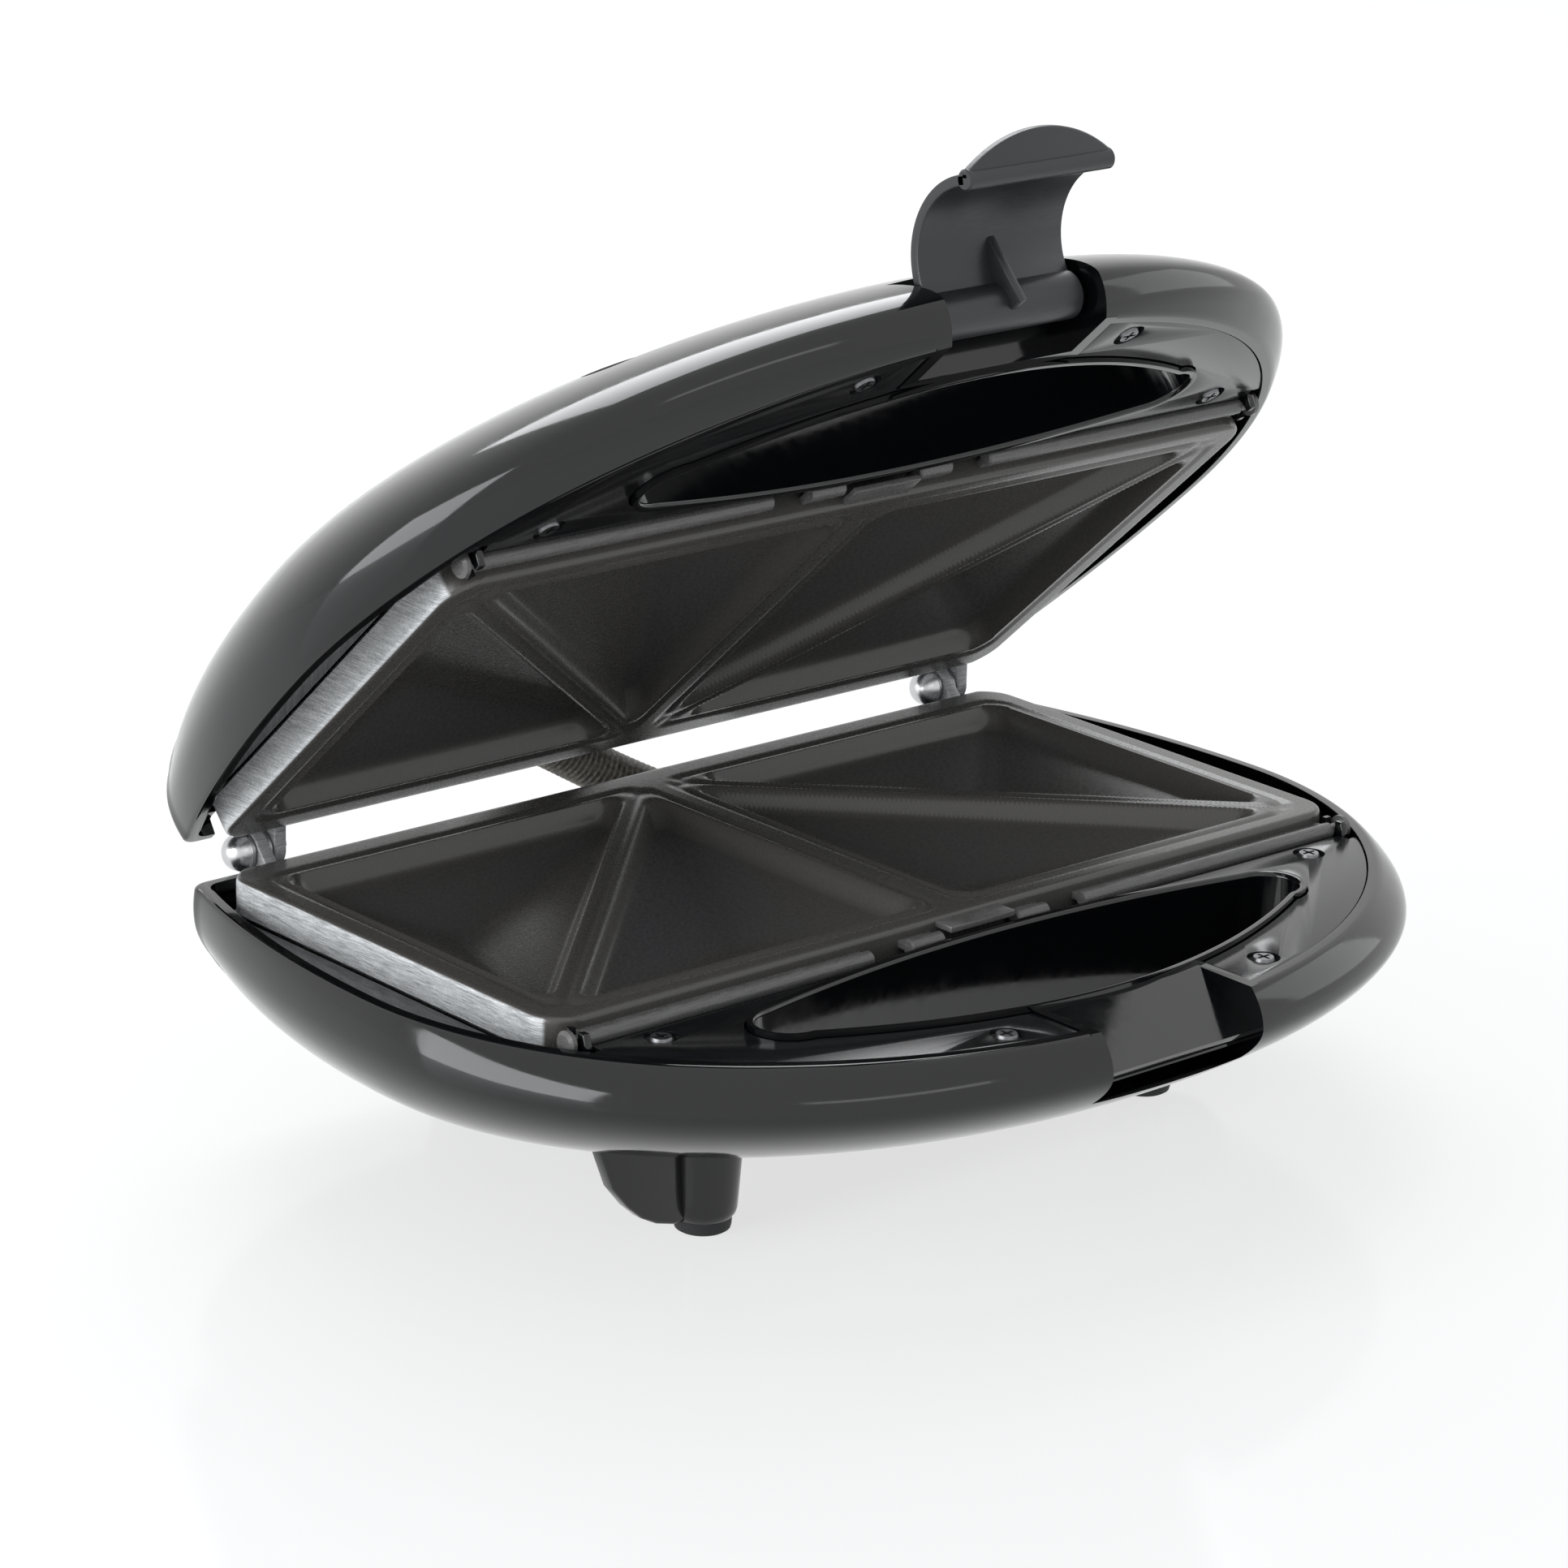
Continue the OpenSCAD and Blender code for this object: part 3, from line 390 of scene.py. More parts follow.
def body_ring(s, h, form, inset):
    deep = form.deep - inset
    q = (h - BELLY_H) / (deep - BELLY_H)
    up = max(0.0, (BELLY_H - h) / (BELLY_H - s.rim_h)) ** 2
    full = NOSE_FULL * (1 - up if h < BELLY_H
                        else max(0.0, cos(min(pi / 2, radians(90 * (h - BELLY_H) / FULL_FADE)))))
    w = (form.crown_w + (s.body_w / 2 - form.crown_w) * fall(q, form.side_full)
         - SIDE_TUCK * up - inset)
    front = (form.crown_front - (form.crown_front + s.nose) * fall(q, form.nose_full)
             + NOSE_TUCK * up + inset)
    back = form.crown_back + (s.rear - form.crown_back) * fall(q, form.rear_full) - inset
    taper = REAR_TAPER * min(1.0, (h - s.rim_h) / 16)
    return outline(w, front, back, REAR_CORNER + 14 * (1 - fall(q, 2)), 2 + full, taper)


def body(s, form, inset, start, lip=0.0):
    """A housing's outer form, or its inside with inset = wall. lip rounds the rim's edge."""
    deep = form.deep - inset
    rings = []
    for k in range(5 if lip else 0):
        a = pi / 2 * k / 5
        h = start + lip * (1 - cos(a))
        draw = lip * (1 - sin(a))
        rings.append([(x, y, h) for x, y in body_ring(s, max(h, s.rim_h), form, inset + draw)])
    first = start + lip
    heights = [first + (BELLY_H - first) * k / 8 for k in range(9)]
    heights += [BELLY_H + (deep - BELLY_H) * sin(pi / 2 * k / 36) ** 1.15 for k in range(1, 37)]
    rings += [[(x, y, h) for x, y in body_ring(s, h, form, inset)] for h in heights]
    edge, my = rings[-1], (form.crown_front + form.crown_back) / 2
    for t in [k / 14.6 for k in range(1, 15)] if form.dome else []:
        rings.append([(x * (1 - t), my + (y - my) * (1 - t), deep + form.dome * (1 - (1 - t) ** 2))
                      for x, y, _ in edge])
    return loft(rings)


def grip_outline(s, grow=0.0, fine=6):
    """The crescent finger hole, moved outwards by grow."""
    end, n = 7.5, 10 * fine
    far, near = -s.grip_gap, -s.grip_gap - s.grip_d
    e = s.grip_w / 2 - end
    far_e, near_e = far - 7.0, near + 17.5
    mid, half = (far_e + near_e) / 2, (far_e - near_e) / 2
    pts = [(e * i / n, near + 17.5 * (i / n) ** 2) for i in range(-n, n + 1)]
    pts += [(e + end * cos(radians(a)), mid + half * sin(radians(a))) for a in range(-75, 76, 15)]
    pts += [(e * i / n, far - 7.0 * (i / n) ** 2) for i in range(n, -n - 1, -1)]
    pts += [(-e + end * cos(radians(a)), mid + half * sin(radians(a))) for a in range(105, 256, 15)]
    out = []
    for i, p in enumerate(pts):
        a, b = pts[i - 1], pts[(i + 1) % len(pts)]
        t = (b[0] - a[0], b[1] - a[1])
        size = sqrt(t[0] ** 2 + t[1] ** 2)
        out.append((p[0] + grow * t[1] / size, p[1] - grow * t[0] / size))
    return out


def grip_cutter(s, top, lip):
    """The finger hole with a rounded upper edge."""
    rings = [[(x, y, top - 4) for x, y in grip_outline(s, lip)]]
    for a in [radians(15 * k) for k in range(7)]:
        rings.append([(x, y, top + lip * (1 - cos(a)))
                      for x, y in grip_outline(s, lip * (1 - sin(a)))])
    rings.append([(x, y, 80) for x, y in grip_outline(s, 0)])
    return loft(rings)


def turned(p, a):
    c, q = cos(radians(a)), sin(radians(a))
    return (p[0] * c - p[1] * q, p[0] * q + p[1] * c)


def hook_places(s):
    """Centre of the latch's curve and of its bead when it is hooked, in the base's half."""
    c = turned(ARC_C, LATCH_TURN)
    b = turned(on_arc(ARC_C, s.latch_r, ARC_TO), LATCH_TURN)
    drop = AXIS_H + 2 * s.half_gap
    return (AXIS_Y + c[0], -(drop + c[1])), (AXIS_Y + b[0], -(drop + b[1]))


def housing(s, form):
    """Shell, finger hole wall and rounded rim, before a half's own cuts."""
    shell = cut(body(s, form, 0, s.rim_h, lip=0.7), body(s, form, s.wall, s.rim_h - 1))
    inner = keep(loft([[(x, y, h) for x, y in grip_outline(s, 1.8)] for h in (s.rim_h - 1, 60)]),
                 body(s, form, 0.02, s.rim_h - 1.2))
    low = s.plate_side + 0.1
    deck = keep(cut(block((-150, 150), (-9, 150), (low, low + DECK_T)),
                    block((-s.plate_w / 2 - DECK_GAP, s.plate_w / 2 + DECK_GAP),
                          (-DECK_GAP, s.plate_d + DECK_GAP), (0, 20))),
                body(s, form, 0.02, s.rim_h - 1.2))
    shell = weld(shell, inner, deck)
    cradle = both(lambda: bevelled(prism(
        [(BAR_Y - 3.2, BAR_H - 2.4), (BAR_Y + 2.8, BAR_H - 2.4), (BAR_Y + 2.8, 12),
         (BAR_Y - 4.4, 12), (BAR_Y - 4.4, 5)], CRADLE_X - 0.9, CRADLE_X + 0.9, "X"), 0.4, 3))
    shell = weld(shell, cradle)
    return cut(shell, grip_cutter(s, s.rim_h - 1, 1.0), both(lambda: prism(
        [(BAR_Y - NECK_R - 0.15, -3), (BAR_Y + NECK_R + 0.15, -3), (BAR_Y + NECK_R + 0.15, BAR_H)]
        + [on_arc((BAR_Y, BAR_H), NECK_R + 0.15, a) for a in range(15, 166, 15)]
        + [(BAR_Y - NECK_R - 0.15, BAR_H)], CRADLE_X - 3, CRADLE_X + 3, "X")))


# ------------------------------------------------------------------ materials
def add(tree, kind, settings=None, inputs=None):
    """Adds a node with its settings, values and links."""
    n = tree.nodes.new(kind)
    for key, value in (settings or {}).items():
        setattr(n, key, value)
    for key, value in (inputs or {}).items():
        if isinstance(value, bpy.types.NodeSocket):
            tree.links.new(value, n.inputs[key])
        else:
            n.inputs[key].default_value = value
    return n


def material(name, colour, roughness, metallic=0.0, ior=1.5, coat=0.0):
    """A material with its shader, and the object coordinates in millimetres."""
    m = bpy.data.materials.new(name)
    m.use_nodes = True
    m.diffuse_color = linear(colour)
    tree = m.node_tree
    shader = tree.nodes["Principled BSDF"]
    shader.inputs["Base Color"].default_value = linear(colour)
    shader.inputs["Roughness"].default_value = roughness
    shader.inputs["Metallic"].default_value = metallic
    if not metallic:
        shader.inputs["IOR"].default_value = ior
    if coat:
        shader.inputs["Coat Weight"].default_value = coat
        shader.inputs["Coat Roughness"].default_value = 0.05
    coords = add(tree, "ShaderNodeTexCoord")
    mm = add(tree, "ShaderNodeVectorMath", {"operation": "SCALE"},
             {0: coords.outputs["Object"], "Scale": 1000.0})
    return m, tree, shader, mm.outputs[0]


def stretched(tree, mm, scale):
    """Millimetre coordinates scaled by axis, for grain that runs one way."""
    return add(tree, "ShaderNodeMapping", None, {"Vector": mm, "Scale": scale}).outputs[0]


def noisy(tree, vector, scale, detail, low, high, key):
    """Noise turned into a value between low and high, linked to a shader socket."""
    noise = add(tree, "ShaderNodeTexNoise", None,
                {"Vector": vector, "Scale": scale, "Detail": detail, "Roughness": 0.55})
    ramp = add(tree, "ShaderNodeMapRange", None,
               {"Value": noise.outputs["Fac"], "From Min": 0.3, "From Max": 0.7,
                "To Min": low, "To Max": high})
    if key is not None:
        tree.links.new(ramp.outputs[0], key)
    return noise.outputs["Fac"], ramp.outputs[0]


def shows_background(tree):
    """1 for rays that show the pale background: from the camera, off a gloss or through glass."""
    path = add(tree, "ShaderNodeLightPath")
    shown = path.outputs["Is Camera Ray"]
    for kind in ("Is Glossy Ray", "Is Transmission Ray"):
        shown = add(tree, "ShaderNodeMath", {"operation": "MAXIMUM"},
                    {0: shown, 1: path.outputs[kind]}).outputs[0]
    return shown


def bump(tree, height, distance, strength, shader, below=None):
    n = add(tree, "ShaderNodeBump", None,
            {"Height": height, "Distance": distance / 1000, "Strength": strength})
    if below is not None:
        tree.links.new(below, n.inputs["Normal"])
    tree.links.new(n.outputs[0], shader.inputs["Normal"])
    return n.outputs[0]


def polished_phenolic(c):
    """Compression-moulded black plastic, polished: near-mirror, with a slow ripple from the mould
    and fine dust-like wear in its gloss."""
    m, tree, shader, mm = material("Polished phenolic moulding", c.housing, 0.1, ior=1.53)
    noisy(tree, mm, 0.35, 4.0, 0.06, 0.13, shader.inputs["Roughness"])
    ripple, _ = noisy(tree, mm, 0.06, 1.0, 0, 1, None)
    bump(tree, ripple, 0.5, 0.12, shader)
    return m


def satin_panel(c):
    """Moulded black plastic with a fine spark finish of about 0.4 mm: soft, broken highlights."""
    m, tree, shader, mm = material("Spark-finished panel", c.panel, 0.26, ior=1.5)
    grain, _ = noisy(tree, mm, 2.4, 3.0, 0.12, 0.22, shader.inputs["Roughness"])
    bump(tree, grain, 0.02, 0.25, shader)
    return m


def coated_casting(c):
    """Die-cast aluminium, coated on its face and wiped bare round its sides: a speckled dark
    coating of about 1 mm flecks, and pale metal with linishing marks along the sides."""
    m, tree, shader, mm = material("Coated die-cast aluminium", c.coating, 0.4)
    bare = add(tree, "ShaderNodeAttribute", {"attribute_name": "bare"}).outputs["Fac"]
    fleck = add(tree, "ShaderNodeTexNoise", None,
                {"Vector": mm, "Scale": 1.3, "Detail": 4.0, "Roughness": 0.7}).outputs["Fac"]
    sparkle = add(tree, "ShaderNodeMapRange", None,
                  {"Value": fleck, "From Min": 0.62, "From Max": 0.74,
                   "To Min": 0.0, "To Max": 0.35})
    dark = add(tree, "ShaderNodeMix", {"data_type": "RGBA"},
               {0: sparkle.outputs[0], 6: linear(c.coating), 7: linear("#65625f")})
    streak = add(tree, "ShaderNodeTexNoise", None,
                 {"Vector": stretched(tree, mm, (0.25, 0.25, 6.0)), "Scale": 1.0,
                  "Detail": 5.0, "Roughness": 0.65}).outputs["Fac"]
    brushed = add(tree, "ShaderNodeMapRange", None,
                  {"Value": streak, "From Min": 0.36, "From Max": 0.64,
                   "To Min": 0.0, "To Max": 1.0})
    pale = add(tree, "ShaderNodeMix", {"data_type": "RGBA"},
               {0: brushed.outputs[0], 6: linear("#8f9193"), 7: linear(c.casting)})
    skin = add(tree, "ShaderNodeMix", {"data_type": "RGBA"},
               {0: bare, 6: dark.outputs[2], 7: pale.outputs[2]})
    tree.links.new(skin.outputs[2], shader.inputs["Base Color"])
    metal = add(tree, "ShaderNodeMath", {"operation": "MULTIPLY"}, {0: bare, 1: 0.12})
    tree.links.new(metal.outputs[0], shader.inputs["Metallic"])
    rough = add(tree, "ShaderNodeMapRange", None,
                {"Value": fleck, "From Min": 0.3, "From Max": 0.7, "To Min": 0.22, "To Max": 0.34})
    tree.links.new(rough.outputs[0], shader.inputs["Roughness"])
    first = bump(tree, fleck, 0.03, 0.3, shader)
    marks = add(tree, "ShaderNodeMath", {"operation": "MULTIPLY"}, {0: streak, 1: bare})
    bump(tree, marks.outputs[0], 0.04, 0.35, shader, below=first)
    return m


def aluminised_tray(c):
    """Pressed aluminised steel: bright, with drawing marks along the walls."""
    m, tree, shader, mm = material("Aluminised steel pressing", c.tray, 0.3, metallic=1.0)
    vector = stretched(tree, mm, (0.1, 0.1, 4.0))
    marks, _ = noisy(tree, vector, 1.0, 4.0, 0.22, 0.4, shader.inputs["Roughness"])
    bump(tree, marks, 0.01, 0.3, shader)
    return m


def nickel_plate(c):
    """Satin nickel-plated steel: pale and bright, with fine turning marks."""
    m, tree, shader, mm = material("Satin nickel-plated steel", "#cbccce", 0.3, metallic=1.0)
    marks, _ = noisy(tree, stretched(tree, mm, (9.0, 0.4, 0.4)), 1.0, 3.0, 0.24, 0.36,
                     shader.inputs["Roughness"])
    bump(tree, marks, 0.004, 0.2, shader)
    return m


def passivated_screw(c):
    """Dark passivated steel of the screws: grey with a dull, uneven shine."""
    m, tree, shader, mm = material("Dark passivated steel", "#77787a", 0.34, metallic=1.0)
    noisy(tree, mm, 1.6, 3.0, 0.28, 0.44, shader.inputs["Roughness"])
    return m


def zinc_washer(c):
    """Zinc-plated steel washers: grey, with a cloudy finish."""
    m, tree, shader, mm = material("Zinc-plated steel", "#9a9b9c", 0.34, metallic=1.0)
    noisy(tree, mm, 1.2, 4.0, 0.26, 0.46, shader.inputs["Roughness"])
    return m


def rubber(c):
    """Moulded rubber: dull, with a fine bloom."""
    m, tree, shader, mm = material("Moulded rubber", c.rubber, 0.65, ior=1.52)
    grain, _ = noisy(tree, mm, 3.0, 3.0, 0.55, 0.78, shader.inputs["Roughness"])
    bump(tree, grain, 0.02, 0.2, shader)
    return m


def latch_nylon(c):
    """Glass-filled nylon: dark grey and satin, with short flow marks along the moulding."""
    m, tree, shader, mm = material("Glass-filled nylon", c.latch, 0.36, ior=1.53)
    vector = stretched(tree, mm, (0.25, 1.2, 1.2))
    flow, _ = noisy(tree, vector, 1.4, 4.0, 0.28, 0.42, shader.inputs["Roughness"])
    bump(tree, flow, 0.012, 0.25, shader)
    return m


def woven_sleeve(c):
    """Varnished glass-fibre sleeving over a ribbed tube: threads about 0.6 mm apart, drawn at
    0.9 mm so that they show."""
    m, tree, shader, mm = material("Varnished glass-fibre sleeve", c.sleeve, 0.55, ior=1.5)
    weave = add(tree, "ShaderNodeTexVoronoi", {"feature": "F1"}, {"Vector": mm, "Scale": 1.1})
    shade = add(tree, "ShaderNodeMapRange", None,
                {"Value": weave.outputs["Distance"], "From Min": 0.1, "From Max": 0.75,
                 "To Min": 0.0, "To Max": 0.8})
    mix = add(tree, "ShaderNodeMix", {"data_type": "RGBA"},
              {0: shade.outputs[0], 6: linear(c.sleeve), 7: linear("#37352f")})
    tree.links.new(mix.outputs[2], shader.inputs["Base Color"])
    bump(tree, weave.outputs["Distance"], 0.12, 0.6, shader)
    return m


def lamp_lens(c):
    """Moulded tinted polycarbonate: a clear glossy skin over its own colour."""
    m, tree, shader, mm = material("Tinted polycarbonate", c.lamp, 0.12, ior=1.58, coat=0.6)
    noisy(tree, mm, 0.9, 2.0, 0.08, 0.2, shader.inputs["Roughness"])
    return m


def heater_tube(c):
    """Oxidised heater sheath: brown-grey and matt, with heat bands."""
    m, tree, shader, mm = material("Oxidised heater sheath", "#6b655d", 0.5, metallic=0.8)
    band, _ = noisy(tree, mm, 0.12, 3.0, 0.42, 0.6, shader.inputs["Roughness"])
    mix = add(tree, "ShaderNodeMix", {"data_type": "RGBA"},
              {0: band, 6: linear("#57514a"), 7: linear("#837b70")})
    tree.links.new(mix.outputs[2], shader.inputs["Base Color"])
    return m


def steatite(c):
    """Unglazed ceramic: chalky, with a faint speck."""
    m, tree, shader, mm = material("Unglazed steatite", c.ceramic, 0.6, ior=1.6)
    speck, _ = noisy(tree, mm, 2.0, 4.0, 0.5, 0.7, shader.inputs["Roughness"])
    bump(tree, speck, 0.02, 0.25, shader)
    return m


# ------------------------------------------------------------------ operators
class ToasterOperator:
    bl_options = {"REGISTER", "UNDO"}

    def execute(self, context):
        self.build(sizes(), context.scene.toaster_colours)
        return {"FINISHED"}


class TOASTER_OT_stage(ToasterOperator, Operator):
    """Camera, floor and soft studio light"""
    bl_idname = "toaster.stage"
    bl_label = "Studio"

    def build(self, s, c):
        scene = bpy.context.scene
        scene.view_settings.view_transform = "Standard"
        back = Vector(VIEW_BACK).normalized()
        right = Vector((0, 0, 1)).cross(back).normalized()
        up = back.cross(right)
        roll = radians(VIEW_ROLL)
        right, up = right * cos(roll) + up * sin(roll), up * cos(roll) - right * sin(roll)
        data = bpy.data.cameras.new("Camera")
        data.sensor_width = 36.0
        data.lens = FOCAL_PX / FRAME_PX * data.sensor_width
        data.shift_x, data.shift_y = VIEW_SHIFT
        data.clip_start, data.clip_end = 0.05, 50
        camera = bpy.data.objects.new("Camera", data)
        at = Vector(CAMERA_AT) + Vector((0, -s.stance_y, s.face_z))
        camera.matrix_world = (Matrix.Translation(at / 1000)
                               @ Matrix((right, up, back)).transposed().to_4x4())
        scene.collection.objects.link(camera)
        scene.camera = camera
        self.floor(c)
        self.world()
        target = Vector((0, 0.0, 0.09))
        for name, place, size, power in (
                ("Key box", (0.51, 0.96, 1.26), (1.15, 1.15), 18.0),
                ("Left fill", (-1.35, 0.15, 0.4), (1.2, 0.8), 14.0),
                ("Right box", (1.3, -0.35, 0.45), (0.75, 0.6), 1.2),
                ("Front strip", (-0.2, -1.35, 0.8), (0.9, 0.14), 0.6)):
            lamp = bpy.data.lights.new(name, "AREA")
            lamp.shape, lamp.size, lamp.size_y = "RECTANGLE", size[0], size[1]
            lamp.energy, lamp.color = power, (0.97, 0.985, 1.0)
            ob = bpy.data.objects.new(name, lamp)
            ob.location = place
            ob.rotation_euler = (target - Vector(place)).to_track_quat("-Z", "Y").to_euler()
            scene.collection.objects.link(ob)

    def floor(self, c):
        """A wide flat sheet, plain and pale, that keeps the toaster's shadow."""
        flat = solid([(-3000, -3000, 0), (3000, -3000, 0), (3000, 3000, 0), (-3000, 3000, 0)],
                     [[0, 1, 2, 3]])
        flat.data.transform(Matrix.Scale(0.001, 4))
        flat.name = flat.data.name = "Floor"
        m, tree, shader, mm = material("Glossy white acrylic", c.floor, 0.12, ior=1.49)
        noisy(tree, mm, 0.01, 2.0, 0.08, 0.16, shader.inputs["Roughness"])
        white = add(tree, "ShaderNodeEmission", None, {"Color": (1, 1, 1, 1), "Strength": 1.0})
        share = add(tree, "ShaderNodeMath", {"operation": "MULTIPLY"},
                    {0: shows_background(tree), 1: WHITE_SHARE})
        out = tree.nodes["Material Output"]
        pale = add(tree, "ShaderNodeMixShader", None,
                   {0: share.outputs[0], 1: shader.outputs[0], 2: white.outputs[0]})
        tree.links.new(pale.outputs[0], out.inputs["Surface"])
        flat.data.materials.append(m)

    def world(self):
        """White to the camera and in reflections, and a plain level of light on everything else."""
        world = bpy.data.worlds.new("Studio")
        bpy.context.scene.world = world
        world.use_nodes = True
        tree = world.node_tree
        ground = tree.nodes["Background"]
        ground.inputs["Color"].default_value = (0.94, 0.98, 1.0, 1)
        ground.inputs["Strength"].default_value = WORLD_LEVEL
        white = add(tree, "ShaderNodeBackground", None, {"Color": (1, 1, 1, 1), "Strength": 1.0})
        mixed = add(tree, "ShaderNodeMixShader", None,
                    {0: shows_background(tree), 1: ground.outputs[0], 2: white.outputs[0]})
        tree.links.new(mixed.outputs[0], tree.nodes["World Output"].inputs["Surface"])


class TOASTER_OT_base_housing(ToasterOperator, Operator):
    """Lower housing with its finger hole, latch recess, posts and rear legs"""
    bl_idname = "toaster.base_housing"
    bl_label = "Base housing"

    def build(self, s, c):
        form = s.base_form
        shell = housing(s, form)
        hook, bead = hook_places(s)
        walls = keep(prism([(RECESS_BACK + s.wall, s.rim_h), (RECESS_BACK + s.wall, 7),
                            (bead[0] + 6, bead[1] + 6), (-80, 26), (-80, s.rim_h)],
                           -s.recess_w / 2 - s.wall, s.recess_w / 2 + s.wall, "X"),
                     body(s, form, 0.02, s.rim_h))
        shell = weld(shell, walls)
        slope = prism([(RECESS_BACK, -2), (RECESS_BACK, s.rim_h), (hook[0] - 12.4, LEDGE_H),
                       (-90, LEDGE_H), (-90, -2)], -s.recess_w / 2, s.recess_w / 2, "X")
        slot = cut(rod(s.latch_r + s.latch_t / 2 + 0.7, -s.recess_w / 2, s.recess_w / 2,
                       (0, *hook), steps=128),
                   rod(s.latch_r - s.latch_t / 2 - 0.5, -50, 50, (0, *hook), steps=128),
                   block((-60, 60), (RECESS_BACK, 20), (-40, 60)),
                   block((-60, 60), (-200, 200), (bead[1] + BEAD_R, 80)))
        nest = rod(BEAD_R + 0.5, -s.recess_w / 2, s.recess_w / 2, (0, *bead))
        under = block((-s.recess_w / 2, s.recess_w / 2), (-90, bead[0]), (bead[1] - 3, bead[1] + 5))
        shell = cut(shell, slope, slot, nest, under)
        for x in s.stack_x:
            cut(shell, block((x + DOME_H - 0.5, x + s.stack + 3.5),
                             (s.rear - s.wall - 4, s.rear + 6), (-2, s.plate_side + 2)))
        cut(shell, block((0, SLEEVE_END_X + 6), (s.rear - s.wall - 6, s.rear + 6),
                         (-1, SLEEVE_END_H + 6)),
            block((GLAND_X - 7, GLAND_X + 7), (s.rear - s.wall - 4, s.rear + 5.5),
                  (GLAND_H - 6, GLAND_H + 6)))
        end = s.face_z - s.foot_tip
        post = both(lambda: lathe(
            [(s.foot_r + 1.6, 30), (s.foot_r + 0.2, end - 5), (s.foot_r, end - 2),
             (s.foot_r - 0.3, end - 0.9), (s.foot_r - 1, end)], (s.foot_x, FOOT_Y, 0)))
        web = both(lambda: bevelled(self.web(s), 0.8, 3))
        leg = both(lambda: bevelled(self.leg(s), 0.8, 3))
        shell = gather(shell, post, web, leg)
        finish_piece(shell, "Base_housing", BASE_BODY, polished_phenolic(c),
                     ["base_housing"], half_matrix(s, BASE_BODY))

    def web(self, s):
        """Gusset from a front post to the housing."""
        end = s.face_z - s.foot_tip
        pts = [(0, 30), (30, 30), (25, end - 12), (21, end - 7), (17.5, end - 3.8),
               (13.5, end - 1.6), (9, end - 0.3), (0, end - 0.3)]
        return loft([[(s.foot_x + x, y, h) for x, h in pts]
                     for y in (FOOT_Y + 2, FOOT_Y - 2)])

    def leg(self, s):
        """Wide rear leg with a waist."""
        w, foot = LEG_W / 2, s.face_z - s.foot_tip
        pts = [(-w, 20), (w, 20), (w - 1, 44), (w - 3, 49), (w - 1, 54),
               (w, foot), (-w, foot), (-w + 1, 54), (-w + 3, 49), (-w + 1, 44)]
        return loft([[(LEG_X + p, y, h) for p, h in pts]
                     for y in (LEG_Y + LEG_D / 2, LEG_Y - LEG_D / 2)])


class TOASTER_OT_lid_housing(ToasterOperator, Operator):
    """Lid housing with its finger hole and the latch's recess"""
    bl_idname = "toaster.lid_housing"
    bl_label = "Lid housing"

    def build(self, s, c):
        form = s.lid_form
        shell = housing(s, form)
        ay, ah, r = AXIS_Y, AXIS_H, BARREL_R
        walls = keep(prism([(LID_BACK + s.wall, s.rim_h), (ay + r + 4, ah + 1), (ay + 6.5, ah + 14),
                            (ay, 40), (-95, 40), (-95, s.rim_h)],
                           -s.recess_w / 2 - s.wall - 1, s.recess_w / 2 + s.wall + 1, "X"),
                     body(s, form, 0.02, s.rim_h))
        shell = weld(shell, walls)
        recess = prism([(-95, -4), (LID_BACK, -4), (LID_BACK, s.rim_h + 1), (ay + r + 1, ah - 3),
                        (ay + r + 1, ah + 2), (ay + 3.5, ah + 12), (ay - 1, 40), (-95, 40)],
                       -s.recess_w / 2, s.recess_w / 2, "X")
        barrel = rod(r + 0.8, -s.recess_w / 2, s.recess_w / 2, (0, ay, ah))
        pin = rod(1.5, -s.recess_w / 2 - s.wall, s.recess_w / 2 + s.wall, (0, ay, ah), steps=32)
        cut(shell, recess, barrel, pin,
            block((-SLEEVE_END_X - 6, -8), (s.rear - s.wall - 6, s.rear + 6),
                  (-1, SLEEVE_END_H + 6)))
        w = 107.0
        relief = loft([[(x, y, h) for x, h in ((-w, -2), (w, -2), (w - 1, 7), (w - 5, 11),
                                              (5 - w, 11), (1 - w, 7))]
                       for y in (s.rear + s.wall + 3, s.rear - s.wall - 3)])
        cut(shell, relief)
        for x in LAMP_X:
            cut(shell, rod(LAMP_HOLE_R, 0, 80, (x, LAMP_Y, 0), "Z"))
        finish_piece(shell, "Lid_housing", LID_BODY, polished_phenolic(c),
                     ["lid_housing"], half_matrix(s, LID_BODY))


